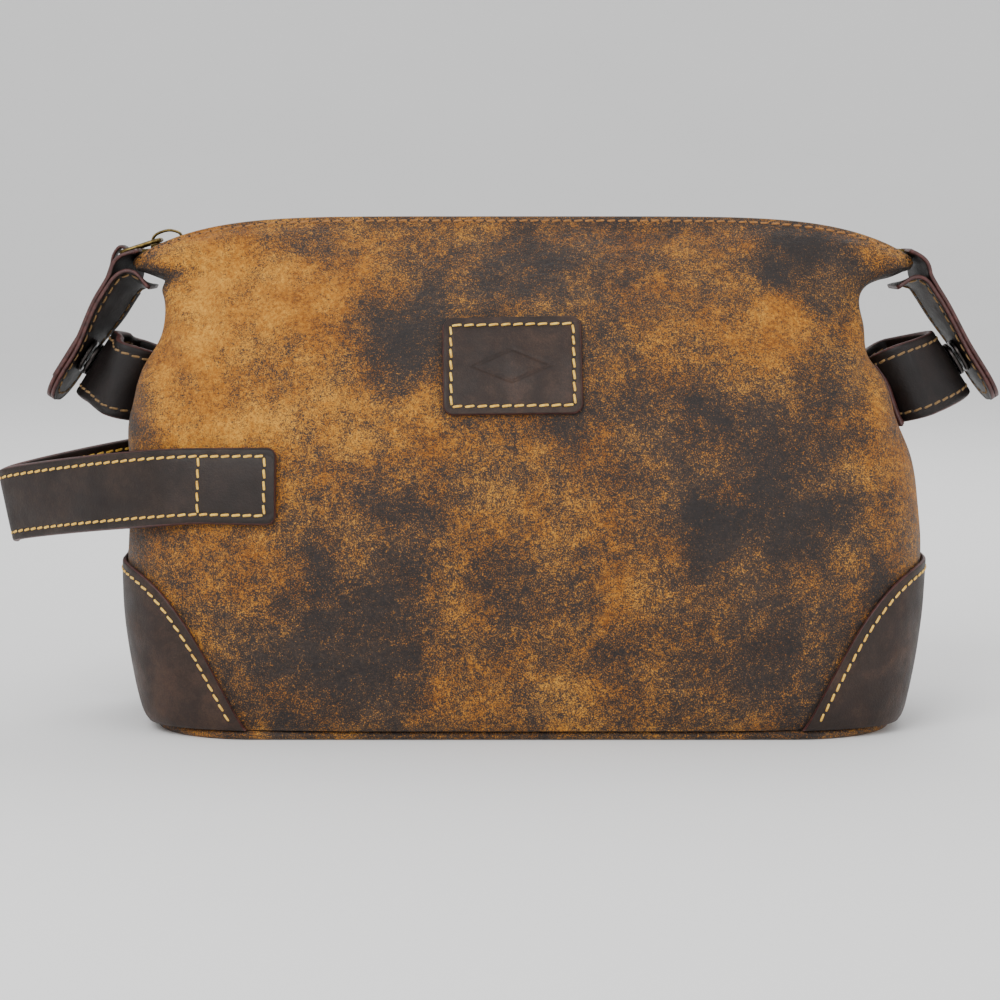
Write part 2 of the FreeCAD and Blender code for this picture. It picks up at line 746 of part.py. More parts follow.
def make_strap(name, mirror):
    """A side strap: two plies, its magnet, and its ends sewn flat on the end of the bag."""
    half_gap, thick = 0.1, size("PlyThick")
    formed(name + "_strap_outer_ply", strap_grid(mirror, half_gap + thick), strap_grid(mirror, half_gap))
    formed(name + "_strap_inner_ply", strap_grid(mirror, -half_gap), strap_grid(mirror, -half_gap - thick))
    slope = math.radians(size("TabSlope"))
    down = Vector(mirror * math.cos(slope), 0, -math.sin(slope))
    outward = Vector(mirror * math.sin(slope), 0, math.cos(slope))
    middle = strap_point(0, 0.5)
    middle.x = mirror * middle.x
    seat = middle + outward * (half_gap + thick + 0.1)
    place = Placement(seat, Rotation(down, outward.cross(down), outward, "XYZ"))
    make_disc(name + "_strap_magnet", place, "Sizes.SnapRadius", "Sizes.SnapThick")
    for end, side in (("front", -1), ("back", 1)):
        grids = []
        for out in (size("LayerGap") + 2 * thick, size("LayerGap")):
            grid = []
            for i in range(7):
                level = level_at(STRAP_FOOT_LOW + (STRAP_FOOT_HIGH - STRAP_FOOT_LOW) * i / 6)
                first, last = STRAP_FOOT_TURNS
                turns = [first + (last - first) * k / 8 for k in range(9)]
                arounds = [turn if side < 0 else 180 - turn for turn in turns]
                grid.append([around_point(level, around, mirror, -out) for around in arounds])
            grids.append(grid)
        formed(f"{name}_strap_{end}_anchor", *grids)


# ---------------------------------------------------------------- the carrying handle

HANDLE_HALF_SPAN = 54.8
HANDLE_TIP_BEND = 5.0
HANDLE_SPREAD = 1.32
HANDLE_BULGE = 20.0
HANDLE_DROOP = 0.9
HANDLE_TIP_LEAN = 0.2
HANDLE_FOOT_LEAN = 0.21


def handle_line(share):
    """The handle's middle line and upward direction. share is -1 at its front end and 1 at its back end."""
    side = -1 if share < 0 else 1
    rest = abs(share)
    y = HANDLE_HALF_SPAN * rest
    bulge = HANDLE_BULGE * rest**2 * (1 - rest)
    from_tip = HANDLE_SPREAD * (math.hypot(y, HANDLE_TIP_BEND) - HANDLE_TIP_BEND)
    x = -size("HandleTipX") + from_tip - bulge
    z = size("HandleTipZ") + (size("HandleMidZ") - size("HandleTipZ")) * rest**HANDLE_DROOP
    up = Vector(-HANDLE_TIP_LEAN * (1 - rest), -side * HANDLE_FOOT_LEAN * rest**2, 1).normalize()
    return Vector(x, side * y, z), up


def handle_grid(out):
    """The grid of points of the handle's surface, out away from its middle."""
    shares = [math.copysign(abs(k / 20) ** 1.6, k) for k in range(-20, 21)]
    grid = []
    for share in shares:
        middle, up = handle_line(share)
        ahead, behind = handle_line(min(share + 0.01, 1))[0], handle_line(max(share - 0.01, -1))[0]
        along = ahead - behind
        normal = along.cross(up).normalize()
        if normal.x > 0:
            normal = normal * -1
        line = [middle + up * (size("HandleWide") * (i / 4 - 0.5)) + normal * out for i in range(5)]
        grid.append(line)
    return grid


def make_handle():
    """The handle's two plies, and its two ends sewn to the front and back of the bag."""
    half_gap, thick = 0.1, size("PlyThick")
    formed("handle_outer_ply", handle_grid(half_gap + thick), handle_grid(half_gap))
    formed("handle_inner_ply", handle_grid(-half_gap), handle_grid(-half_gap - thick))
    middle, half = size("HandleMidZ"), size("HandleWide") / 2 * 0.97
    for end, side in (("front", -1), ("back", 1)):
        near, far = size("LayerGap"), size("LayerGap") + 2 * thick
        x_low, x_high = -size("HandleFootNear"), -size("HandleFootFar")
        grids = front_patch(x_low, x_high, middle - half, middle + half, side, near, far)
        formed(f"handle_{end}_anchor", *grids)


def check_all():
    """Stops if anything in the document failed."""
    doc.recompute()
    for thing in doc.Objects:
        bad = [state for state in thing.State if state in ("Invalid", "Error")]
        assert not bad, f"{thing.Label} is {bad}"
    for node in NODES:
        shape = node.Shape
        assert not shape.isNull() and shape.isValid(), f"{node.Label} has no valid shape"
        assert shape.Solids, f"{node.Label} has no solid"


def write_all():
    """Writes each sub-part to its own file."""
    os.makedirs("parts", exist_ok=True)
    for name in os.listdir("parts"):
        os.remove(os.path.join("parts", name))
    for node in NODES:
        node.Shape.exportStep(f"parts/{node.Label}.step")


make_panels()
make_bottom()
make_boot("left_boot", -1)
make_boot("right_boot", 1)
make_label()
make_chain_half("zip_chain_front", -1)
make_chain_half("zip_chain_back", 1)
make_tape("zip_tape_front", -1)
make_tape("zip_tape_back", 1)
make_zip_stop("zip_stop_left", -1)
make_zip_stop("zip_stop_right", 1)
make_slider()
make_ring()
make_tab("left", -1)
make_tab("right", 1)
make_strap("left", -1)
make_strap("right", 1)
make_handle()
check_all()
write_all()
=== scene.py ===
import math

import bpy
import numpy as np
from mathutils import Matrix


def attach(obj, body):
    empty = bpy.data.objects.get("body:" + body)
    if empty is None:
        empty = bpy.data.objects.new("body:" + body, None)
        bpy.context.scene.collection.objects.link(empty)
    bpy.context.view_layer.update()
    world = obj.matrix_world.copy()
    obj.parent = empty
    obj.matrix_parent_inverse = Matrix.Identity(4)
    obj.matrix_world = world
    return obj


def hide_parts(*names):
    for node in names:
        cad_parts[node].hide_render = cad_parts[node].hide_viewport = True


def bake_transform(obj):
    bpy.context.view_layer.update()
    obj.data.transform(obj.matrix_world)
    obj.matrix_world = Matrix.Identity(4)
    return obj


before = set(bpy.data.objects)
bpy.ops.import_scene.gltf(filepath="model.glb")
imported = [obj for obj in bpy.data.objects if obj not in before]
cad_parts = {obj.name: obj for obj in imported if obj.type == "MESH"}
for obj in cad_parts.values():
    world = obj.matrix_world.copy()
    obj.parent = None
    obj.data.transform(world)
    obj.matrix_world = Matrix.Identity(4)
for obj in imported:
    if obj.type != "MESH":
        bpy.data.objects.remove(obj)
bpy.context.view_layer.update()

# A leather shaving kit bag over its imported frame. Shapes below are worked out in millimetres in the row frame
# (X along the bag, front at -Y, Z up) and turned into metres when a mesh is made.

MM = 0.001

# ---------------------------------------------------------------- the bag's outer surface

# One row per level, bottom to top: height at the middle, height at the ends, half depth, half length,
# squareness of the plan, depth of the end pleat, and how far the row widens towards the ears.
LEVELS = np.array([
    (3.2, 3.2, 58.5, 129.0, 5.0, 0.0, 0.0),
    (9.0, 9.0, 60.5, 132.0, 4.8, 0.0, 0.0),
    (30.0, 30.0, 61.7, 136.5, 4.5, 0.0, 0.0),
    (57.0, 57.0, 62.0, 139.0, 4.2, 0.0, 0.0),
    (84.0, 84.0, 59.5, 138.0, 4.0, 2.5, 0.0),
    (107.0, 105.0, 53.5, 133.5, 4.0, 7.0, 0.0),
    (127.0, 122.0, 45.0, 127.5, 3.8, 12.0, 0.0),
    (142.5, 136.0, 35.5, 123.0, 3.6, 15.0, 0.0),
    (155.0, 148.0, 25.5, 122.5, 3.4, 12.0, 0.15),
    (164.5, 154.8, 17.5, 127.5, 3.4, 6.0, 0.5),
    (171.5, 157.4, 11.3, 135.8, 3.8, 0.0, 1.0),
    (176.8, 161.8, 7.0, 137.0, 4.2, 0.0, 1.2),
])
TOP_LEVEL = len(LEVELS) - 1
PLEAT_SHARE = 0.36
LEATHER = 1.8
# The left end is fuller than the right one beside its pleat, between these heights.
LEFT_FULL = 7.5
LEFT_FULL_LOW = (78.0, 118.0)
LEFT_FULL_HIGH = (150.0, 157.0)
LEFT_FULL_ACROSS = (0.22, 0.50)
LEFT_FULL_ALONG = (30.0, 115.0)


def soft_step(low, high, value):
    """0 below low, 1 above high, and a smooth rise between them."""
    share = np.clip((value - low) / (high - low), 0, 1)
    return share * share * (3 - 2 * share)


def left_fullness(x, across, z):
    """How much further left the left half stands at points. across is their share of the half depth."""
    rise = soft_step(*LEFT_FULL_LOW, z) * (1 - soft_step(*LEFT_FULL_HIGH, z))
    return LEFT_FULL * rise * soft_step(*LEFT_FULL_ACROSS, across) * soft_step(*LEFT_FULL_ALONG, -x)


def level_value(level, column):
    """A LEVELS column at levels that may lie between rows, by a Catmull-Rom curve."""
    i = np.clip(np.floor(level).astype(int), 0, TOP_LEVEL - 1)
    rest = level - i
    a, b, c, d = (LEVELS[np.clip(i + k, 0, TOP_LEVEL), column] for k in (-1, 0, 1, 2))
    bend = 2 * a - 5 * b + 4 * c - d
    return b + 0.5 * rest * (c - a + rest * (bend + rest * (3 * (b - c) + d - a)))


def wall(level, around):
    """Points of the outer surface. around is in degrees: 0 front middle, 90 right end, -90 left end."""
    level, around = np.broadcast_arrays(np.asarray(level, float), np.asarray(around, float))
    side = np.where(np.abs(around) <= 90, -1.0, 1.0)
    turn = np.where(np.abs(around) <= 90, around, np.sign(around) * (180 - np.abs(around)))
    mid_z, end_z, depth, length, square, pleat, flare = (level_value(level, k) for k in range(7))
    sine = np.sin(np.radians(turn))
    cosine = np.maximum(np.cos(np.radians(turn)), 0.0)
    reach = (np.abs(sine) ** square + cosine**square) ** (-1 / square)
    along, across = sine * reach, cosine * reach
    fold = np.where(np.abs(turn) > 30, pleat * np.exp(-((across / PLEAT_SHARE) ** 2)), 0.0)
    x = length * along - np.sign(sine) * fold
    y = side * depth * across * (1 + flare * np.abs(along) ** 4)
    z = mid_z - (mid_z - end_z) * np.abs(along) ** 6
    return np.stack([x - left_fullness(x, across, z), y, z], axis=-1)


def unit(vectors):
    """The same directions with length 1."""
    return vectors / np.maximum(np.linalg.norm(vectors, axis=-1, keepdims=True), 1e-9)


def wall_normal(level, around):
    """The outward directions at points of the outer surface."""
    level, around = np.broadcast_arrays(np.asarray(level, float), np.asarray(around, float))
    up = wall(np.minimum(level + 0.03, TOP_LEVEL), around) - wall(np.maximum(level - 0.03, 0), around)
    along = wall(level, around + 0.5) - wall(level, around - 0.5)
    return unit(np.cross(along, up))


WAVE_COUNT = 14


def waves(points, size, seed):
    """A smooth random field over points, about -1 to 1, whose humps are about size across."""
    random = np.random.default_rng(seed)
    total = np.zeros(points.shape[:-1])
    for _ in range(WAVE_COUNT):
        direction = unit(random.normal(size=3))
        length = size * random.uniform(1.4, 2.6)
        total += np.sin(points @ direction * (2 * math.pi / length) + random.uniform(0, 2 * math.pi))
    return total / math.sqrt(WAVE_COUNT / 2) * 0.6


def drape(points, level):
    """How far the leather stands off its plain form, in mm: broad sags, and folds down from the ears."""
    x, z = np.abs(points[..., 0]), points[..., 2]
    sag = 0.75 * waves(points, 42, 3) + 0.28 * waves(points, 17, 5)
    near_end = soft_step(78, 108, x) * soft_step(88, 112, z) * (1 - soft_step(158, 172, z))
    folds = np.cos((x - 0.42 * (z - 130)) * (2 * math.pi / 19) + 0.9 * waves(points, 30, 9))
    hem = soft_step(0, 0.5, level) * (1 - soft_step(TOP_LEVEL - 1.2, TOP_LEVEL - 0.3, level))
    seam = soft_step(0, 6, np.abs(points[..., 1]))
    return (sag + 0.8 * folds * near_end) * hem * (0.25 + 0.75 * seam)


def leather(level, around, out=0.0):
    """Points of the draped leather, out millimetres off its face."""
    base = wall(level, around)
    return base + wall_normal(level, around) * (out + drape(base, np.asarray(level, float)))[..., None]


def level_at(height):
    """The levels whose middles stand at these heights."""
    levels = np.linspace(0, TOP_LEVEL, 800)
    return np.interp(height, level_value(levels, 0), levels)


# ---------------------------------------------------------------- meshes

def add_mesh(name, points, faces, materials, indices=None):
    """A smooth mesh object from points in mm, with one material index per face."""
    mesh = bpy.data.meshes.new(name)
    mesh.from_pydata((np.asarray(points) * MM).tolist(), [], [list(map(int, f)) for f in faces])
    for material in materials:
        mesh.materials.append(material)
    if indices is not None:
        mesh.polygons.foreach_set("material_index", np.asarray(indices, dtype=np.int32))
    mesh.polygons.foreach_set("use_smooth", np.ones(len(mesh.polygons), dtype=bool))
    mesh.update()
    piece = bpy.data.objects.new(name, mesh)
    bpy.context.collection.objects.link(piece)
    return piece


def quads(rows, columns, closed=False):
    """Corner numbers of the quads of a grid of points numbered row by row."""
    last = columns if closed else columns - 1
    i, j = np.meshgrid(np.arange(rows - 1), np.arange(last), indexing="ij")
    following = (j + 1) % columns
    corners = [i * columns + j, i * columns + following, (i + 1) * columns + following, (i + 1) * columns + j]
    return np.stack(corners, axis=-1).reshape(-1, 4)


def rim(rows, columns):
    """Row and column of each point round a grid's rim, in order."""
    top = [(0, j) for j in range(columns - 1)]
    right = [(i, columns - 1) for i in range(rows - 1)]
    low = [(rows - 1, j) for j in range(columns - 1, 0, -1)]
    left = [(i, 0) for i in range(rows - 1, 0, -1)]
    return np.array(top + right + low + left)


def slab(name, outer, inner, materials, bulge=0.14, edge_faces=1):
    """A sheet between two grids of points with a rounded edge. materials: outer face, edge, inner face.

    With edge_faces, the bevel beside the edge on both faces has the edge's material too."""
    rows, columns = outer.shape[:2]
    i, j = np.meshgrid(np.arange(rows), np.arange(columns), indexing="ij")
    ring = np.minimum(np.minimum(i, rows - 1 - i), np.minimum(j, columns - 1 - j))
    pull = np.select([ring == 0, ring == 1], [0.32, 0.07], 0.0)[..., None]
    through = inner - outer
    outer, inner = outer + through * pull, inner - through * pull
    edge = rim(rows, columns)
    at = edge[:, 0], edge[:, 1]
    inside = np.clip(edge[:, 0], 1, rows - 2), np.clip(edge[:, 1], 1, columns - 2)
    away = unit(outer[at] - outer[inside])
    thick = np.linalg.norm(through[at], axis=-1, keepdims=True)
    middle = (outer[at] + inner[at]) / 2 + away * thick * bulge
    count = rows * columns
    numbers = edge[:, 0] * columns + edge[:, 1]
    face_out = quads(rows, columns)
    face_in = face_out[:, ::-1] + count
    k = np.arange(len(edge))
    after = (k + 1) % len(edge)
    mid = 2 * count + k
    upper = np.stack([numbers[after], numbers[k], mid, mid[after]], axis=-1)
    lower = np.stack([mid[after], mid, numbers[k] + count, numbers[after] + count], axis=-1)
    faces = np.concatenate([face_out, face_in, upper, lower])
    probe = (rows // 2, columns // 2)
    side_a = outer[probe[0] + 1, probe[1]] - outer[probe]
    side_b = outer[probe[0], probe[1] + 1] - outer[probe]
    if np.dot(np.cross(side_b, side_a), -through[probe]) < 0:
        faces = faces[:, ::-1]
    points = np.concatenate([outer.reshape(-1, 3), inner.reshape(-1, 3), middle])
    face_i, face_j = np.meshgrid(np.arange(rows - 1), np.arange(columns - 1), indexing="ij")
    from_side = np.minimum(face_i, rows - 2 - face_i), np.minimum(face_j, columns - 2 - face_j)
    border = np.minimum(*from_side).ravel() == 0
    edged = border & (edge_faces > 0)
    indices = [*np.where(edged, 1, 0), *np.where(edged, 1, 2)] + [1] * (2 * len(edge))
    return add_mesh(name, points, faces, materials, indices)


def spread(length, step, fine=0.4):
    """Distances from 0 to length, about step apart and closer together beside both ends."""
    inner = np.linspace(3 * fine, length - 3 * fine, max(2, int(length / step)))
    return np.concatenate([[0, fine], inner, [length - fine, length]])


def corner_loss(distance, radius):
    """How much narrower a strip with rounded corners is at this distance from its end."""
    rest = np.clip(radius - distance, 0, radius)
    return radius - np.sqrt(radius**2 - rest**2)


def outline(length, half, start_round, end_round, step):
    """Distances along a strip, and its half width at each, with its corners rounded."""
    curve = 1 - np.cos(np.linspace(0, math.pi / 2, 10))
    along = np.concatenate([spread(length, step), start_round * curve, length - end_round * curve])
    along = np.unique(np.round(np.clip(along, 0, length), 2))
    wide = half - corner_loss(along, start_round) - corner_loss(length - along, end_round)
    return along, np.maximum(wide, 0.4)


def smooth_path(corners, step=0.5):
    """Points about step apart on a Catmull-Rom curve through a few corners, with distances along it."""
    corners = np.asarray(corners, float)
    padded = np.vstack([2 * corners[0] - corners[1], corners, 2 * corners[-1] - corners[-2]])
    pieces = []
    for a, b, c, d in zip(padded, padded[1:], padded[2:], padded[3:]):
        t = np.linspace(0, 1, max(2, int(np.linalg.norm(c - b) / step) + 1))[:, None]
        bend = 2 * a - 5 * b + 4 * c - d + t * (3 * (b - c) + d - a)
        pieces.append((b + 0.5 * t * (c - a + t * bend))[:-1])
    line = np.vstack([*pieces, corners[-1:]])
    distance = np.concatenate([[0], np.cumsum(np.linalg.norm(np.diff(line, axis=0), axis=1))])
    return line, distance


class Strip:
    """A strip of leather that follows a path in the XZ plane and lies along Y, its normal on the left."""

    def __init__(self, corners):
        self.line, self.distance = smooth_path(corners)
        self.length = self.distance[-1]

    def at(self, along, across, out=0.0):
        """The point that far along, across and out from the strip's middle line, and the normal there."""
        along, across = np.broadcast_arrays(np.asarray(along, float), np.asarray(across, float))
        x = np.interp(along, self.distance, self.line[:, 0])
        z = np.interp(along, self.distance, self.line[:, 1])
        ahead = np.minimum(along + 0.7, self.length)
        behind = np.maximum(along - 0.7, 0)
        line_x, line_z = self.line[:, 0], self.line[:, 1]
        run_x = np.interp(ahead, self.distance, line_x) - np.interp(behind, self.distance, line_x)
        run_z = np.interp(ahead, self.distance, line_z) - np.interp(behind, self.distance, line_z)
        normal = unit(np.stack([-run_z, np.zeros_like(run_z), run_x], axis=-1))
        return np.stack([x, across, z], axis=-1) + normal * out, normal


GROOVE_DEEP = 0.16


def groove(across, wide, inset):
    """How far a row of stitches presses a strip's face in, at each distance across it."""
    return -GROOVE_DEEP * np.exp(-(((wide - np.abs(across)) - inset) / 0.75) ** 2)


# ---------------------------------------------------------------- stitches

THREAD_WIDE = 0.43
THREAD_HIGH = 0.36
THREAD_SECTIONS = 9
THREAD_SIDES = 8
PITCH = 3.85
SLANT = math.radians(7)
HOLE_PLACE = 1.10
HOLE_RADIUS = 0.50
HOLE_SIDES = 8
HOLE_LEVELS = (1.0, 0.7, 0.3)


class Seam:
    """Gathers stitches of one thread for one mesh."""

    def __init__(self, thread):
        self.starts, self.ends, self.normals = [], [], []
        self.thread = thread

    def row(self, points, normals, pitch=PITCH, gap=0.62):
        """Adds a row of stitches along a line of points."""
        distance = np.concatenate([[0], np.cumsum(np.linalg.norm(np.diff(points, axis=0), axis=1))])
        count = max(1, round(distance[-1] / pitch))
        step = distance[-1] / count
        for k in range(count):
            at = np.array([k * step + gap / 2, (k + 1) * step - gap / 2])
            ends = np.stack([np.interp(at, distance, points[:, c]) for c in range(3)], axis=-1)
            normal = np.array([np.interp(at.mean(), distance, normals[:, c]) for c in range(3)])
            self.starts.append(ends[0])
            self.ends.append(ends[1])
            self.normals.append(unit(normal))

    def build(self, name):
        """Makes the mesh: each stitch a short arched thread that dives into its two needle holes, each shown as
        a dark dome of painted shade.
        """
        start, end, normal = np.array(self.starts), np.array(self.ends), np.array(self.normals)
        middle, half = (start + end) / 2, (end - start) / 2
        side = unit(np.cross(normal, half))
        half = half * math.cos(SLANT) + side * np.linalg.norm(half, axis=-1, keepdims=True) * math.sin(SLANT)
        side = unit(np.cross(normal, half))
        points, faces = thread_arches(middle, half, side, normal)
        indices = [0] * len(faces)
        for sign in (-1, 1):
            rings, hole_faces = needle_holes(middle + half * sign * HOLE_PLACE, unit(half), side, normal)
            faces += [face + len(points) for face in hole_faces]
            points = np.concatenate([points, rings])
            indices += [1] * len(hole_faces)
        return add_mesh(name, points, faces, [self.thread, HOLE_SHADE], indices)


def repeated(faces, count, each):
    """The faces of one part for count parts of the same make, with each points apiece."""
    starts = np.arange(count) * each
    return list((faces[None] + starts[:, None, None]).reshape(-1, faces.shape[1]))


def thread_arches(middle, half, side, normal):
    """Points and faces of a short arched tube over each stitch's middle."""
    share = np.linspace(-1, 1, THREAD_SECTIONS)
    lift = 0.34 * (1 - share**4) - 0.24
    swell = 1 - 0.35 * share**6
    angle = np.linspace(0, 2 * math.pi, THREAD_SIDES, endpoint=False)
    centre = middle[:, None] + half[:, None] * share[None, :, None]
    centre = centre + normal[:, None] * lift[None, :, None]
    ring = side[:, None, None] * (np.cos(angle) * THREAD_WIDE)[None, None, :, None]
    ring = ring + normal[:, None, None] * (np.sin(angle) * THREAD_HIGH)[None, None, :, None]
    arch = centre[:, :, None] + ring * swell[None, :, None, None]
    faces = quads(THREAD_SECTIONS, THREAD_SIDES, closed=True)
    return arch.reshape(-1, 3), repeated(faces, len(middle), THREAD_SECTIONS * THREAD_SIDES)


def needle_holes(centre, along, side, normal):
    """Points and faces of a low dark dome at each centre: painted shade for the inside of a needle hole."""
    turn = np.linspace(0, 2 * math.pi, HOLE_SIDES, endpoint=False)
    rings = []
    for level in HOLE_LEVELS:
        high = 0.12 * math.sqrt(1 - level**2) + 0.03
        flat = along[:, None] * (np.cos(turn) * HOLE_RADIUS * level)[None, :, None]
        flat = flat + side[:, None] * (np.sin(turn) * HOLE_RADIUS * level)[None, :, None]
        rings.append(centre[:, None] + flat + normal[:, None] * high)
    each = len(HOLE_LEVELS) * HOLE_SIDES
    sides = quads(len(HOLE_LEVELS), HOLE_SIDES, closed=True)
    cap = np.arange(each - HOLE_SIDES, each)[None]
    faces = repeated(sides, len(centre), each) + repeated(cap, len(centre), each)
    return np.stack(rings, axis=1).reshape(-1, 3), faces


# ---------------------------------------------------------------- materials

def srgb(red, green, blue):
    """A linear colour from a display colour of 0 to 255."""
    shares = [c / 255 for c in (red, green, blue)]
    linear = [c / 12.92 if c <= 0.04045 else ((c + 0.055) / 1.055) ** 2.4 for c in shares]
    return (*linear, 1.0)


class Shade:
    """A material's node tree, with short ways to add the nodes that this scene uses."""

    def __init__(self, name):
        self.material = bpy.data.materials.new(name)
        self.material.use_nodes = True
        self.tree = self.material.node_tree
        self.shader = self.tree.nodes["Principled BSDF"]
        self.place = self.tree.nodes.new("ShaderNodeTexCoord").outputs["Object"]

    def join(self, value, socket):
        """Links an output to a socket, or sets the socket to a plain value."""
        if hasattr(value, "links"):
            self.tree.links.new(value, socket)
        else:
            socket.default_value = value

    def set(self, **values):
        """Sets the shader's sockets: words for a socket's name, joined by underscores."""
        for name, value in values.items():
            self.join(value, self.shader.inputs[name.replace("_", " ")])
        return self

    def noise(self, scale, detail=5.0, rough=0.55, distort=0.0, place=None):
        """Noise, scale humps to the metre."""
        node = self.tree.nodes.new("ShaderNodeTexNoise")
        node.inputs["Scale"].default_value = scale
        node.inputs["Detail"].default_value = detail
        node.inputs["Roughness"].default_value = rough
        node.inputs["Distortion"].default_value = distort
        self.join(self.place if place is None else place, node.inputs["Vector"])
        return node.outputs["Fac"]

    def cells(self, scale):
        """The distance field of random cells, scale cells to the metre."""
        node = self.tree.nodes.new("ShaderNodeTexVoronoi")
        node.inputs["Scale"].default_value = scale
        self.join(self.place, node.inputs["Vector"])
        return node.outputs["Distance"]

    def stretch(self, scale, turn):
        """The place, turned and then scaled unevenly, for grain that runs one way."""
        node = self.tree.nodes.new("ShaderNodeMapping")
        node.inputs["Scale"].default_value = scale
        node.inputs["Rotation"].default_value = turn
        self.join(self.place, node.inputs["Vector"])
        return node.outputs["Vector"]

    def math(self, operation, first, second=0.0, clamp=False):
        """One sum."""
        node = self.tree.nodes.new("ShaderNodeMath")
        node.operation = operation
        node.use_clamp = clamp
        self.join(first, node.inputs[0])
        self.join(second, node.inputs[1])
        return node.outputs[0]

    def mix_sum(self, *terms):
        """The sum of value and weight pairs, each value taken about 0.5."""
        total = None
        for value, weight in terms:
            term = self.math("MULTIPLY", self.math("SUBTRACT", value, 0.5), weight)
            total = term if total is None else self.math("ADD", total, term)
        return total

    def ramp(self, factor, *stops):
        """A colour ramp from position and colour pairs."""
        node = self.tree.nodes.new("ShaderNodeValToRGB")
        elements = node.color_ramp.elements
        while len(elements) < len(stops):
            elements.new(0.5)
        for element, (position, colour) in zip(elements, stops):
            element.position = position
            element.color = colour if hasattr(colour, "__len__") else (colour, colour, colour, 1)
        self.join(factor, node.inputs["Fac"])
        return node.outputs["Color"]

    def mix(self, factor, first, second):
        """Two colours mixed."""
        node = self.tree.nodes.new("ShaderNodeMix")
        node.data_type = "RGBA"
        self.join(factor, node.inputs[0])
        self.join(first, node.inputs[6])
        self.join(second, node.inputs[7])
        return node.outputs[2]

    def field(self, name):
        """A number stored on the mesh's points."""
        node = self.tree.nodes.new("ShaderNodeAttribute")
        node.attribute_name = name
        return node.outputs["Fac"]

    def bump(self, height, strength, deep, before=None):
        """Bumps of about that many metres."""
        node = self.tree.nodes.new("ShaderNodeBump")
        node.inputs["Strength"].default_value = strength
        node.inputs["Distance"].default_value = deep
        self.join(height, node.inputs["Height"])
        if before is not None:
            self.join(before, node.inputs["Normal"])
        return node.outputs["Normal"]


def distressed_leather():
    """Waxed leather whose dark finish is rubbed through to tan in clouds with speckled borders."""
    shade = Shade("distressed_leather")
    cloud = shade.noise(30, 6, 0.6, 0.4)
    blot = shade.noise(105, 5, 0.62, 0.3)
    mottle = shade.noise(430, 4, 0.65)
    speck = shade.noise(2000, 2, 0.6)
    dust = shade.noise(3600, 1, 0.6)
    terms = ((cloud, 1.0), (blot, 1.2), (mottle, 1.1), (speck, 2.3), (dust, 1.9))
    # The field read here also carries painted shade under the ears, which darkens the leather there.
    dark = shade.mix_sum((shade.field("rub_and_shade"), 1.0), *terms)
    dark = shade.math("ADD", dark, 0.5)
    tone = shade.mix_sum((shade.noise(48, 6, 0.6), 1.8), (shade.noise(800, 4, 0.7), 2.0))
    tone = shade.math("ADD", tone, 0.5, clamp=True)
    tan = shade.ramp(tone, (0.0, srgb(116, 64, 12)), (0.45, srgb(166, 104, 24)), (1.0, srgb(206, 146, 50)))
    deep = shade.ramp(tone, (0.0, srgb(22, 17, 17)), (0.6, srgb(34, 27, 25)), (1.0, srgb(54, 42, 34)))
    brown = shade.ramp(tone, (0.0, srgb(58, 40, 24)), (1.0, srgb(114, 79, 43)))
    colour = shade.mix(shade.ramp(dark, (0.12, 0.0), (0.52, 1.0)), tan, brown)
    colour = shade.mix(shade.ramp(dark, (0.42, 0.0), (0.90, 1.0)), colour, deep)
    rough = shade.ramp(dark, (0.3, 0.78), (0.8, 0.52))
    creases = shade.noise(1.0, 6, 0.6, 0.6, shade.stretch((150, 150, 340), (0.1, 0.35, 0)))
    grain = shade.math("ADD", shade.math("MULTIPLY", shade.cells(1000), 0.5), shade.noise(1900, 4, 0.7))
    normal = shade.bump(creases, 0.6, 0.0012)
    normal = shade.bump(grain, 0.6, 0.0004, normal)
    shade.set(Base_Color=colour, Roughness=rough, Normal=normal, Sheen_Weight=0.08, Specular_IOR_Level=0.3)
    return shade.material


def waxed_leather(name, low, middle, high):
    """Smooth dark brown leather with pull-up clouds."""
    shade = Shade(name)
    clouds, mottle, specks = shade.noise(38, 6, 0.6, 0.5), shade.noise(260, 5, 0.65), shade.noise(1800, 3)
    tone = shade.mix_sum((clouds, 1.9), (mottle, 1.0), (specks, 0.7))
    tone = shade.math("ADD", tone, 0.5, clamp=True)
    colour = shade.ramp(tone, (0.0, low), (0.5, middle), (1.0, high))
    rough = shade.ramp(shade.noise(120, 5), (0.3, 0.46), (0.7, 0.62))
    grain = shade.math("ADD", shade.math("MULTIPLY", shade.cells(1300), 0.55), shade.noise(2300, 3, 0.7))
    normal = shade.bump(shade.noise(90, 5, 0.6, 0.4), 0.5, 0.0005)
    normal = shade.bump(grain, 0.35, 0.00022, normal)
    shade.set(Base_Color=colour, Roughness=rough, Normal=normal, Specular_IOR_Level=0.35)
    return shade.material


def plain_shade(name, low, high, scale, rough, deep=0.0001, metal=0.0):
    """A surface whose colour wanders between two values."""
    shade = Shade(name)
    tone = shade.ramp(shade.noise(scale, 5, 0.6), (0.32, low), (0.68, high))
    normal = shade.bump(shade.noise(scale * 5, 4), 0.4, deep)
    worn = shade.ramp(shade.noise(scale * 2, 4), (0.3, rough - 0.08), (0.7, rough + 0.08))
    shade.set(Base_Color=tone, Roughness=worn, Normal=normal, Metallic=metal)
    return shade.material


def woven(name, low, high, pitch):
    """A plain weave of that many threads to the metre."""
    shade = Shade(name)
    bands = []
    for direction in ("X", "Y"):
        node = shade.tree.nodes.new("ShaderNodeTexWave")
        node.bands_direction = direction
        node.inputs["Scale"].default_value = pitch / 20
        node.inputs["Distortion"].default_value = 0.4
        shade.join(shade.place, node.inputs["Vector"])
        bands.append(node.outputs["Fac"])
    weave = shade.math("MAXIMUM", bands[0], bands[1])
    tone = shade.math("ADD", weave, shade.mix_sum((shade.noise(500), 0.8)))
    colour = shade.ramp(tone, (0.2, low), (0.9, high))
    shade.set(Base_Color=colour, Roughness=0.8, Normal=shade.bump(weave, 0.5, 0.0002), Sheen_Weight=0.2)
    return shade.material


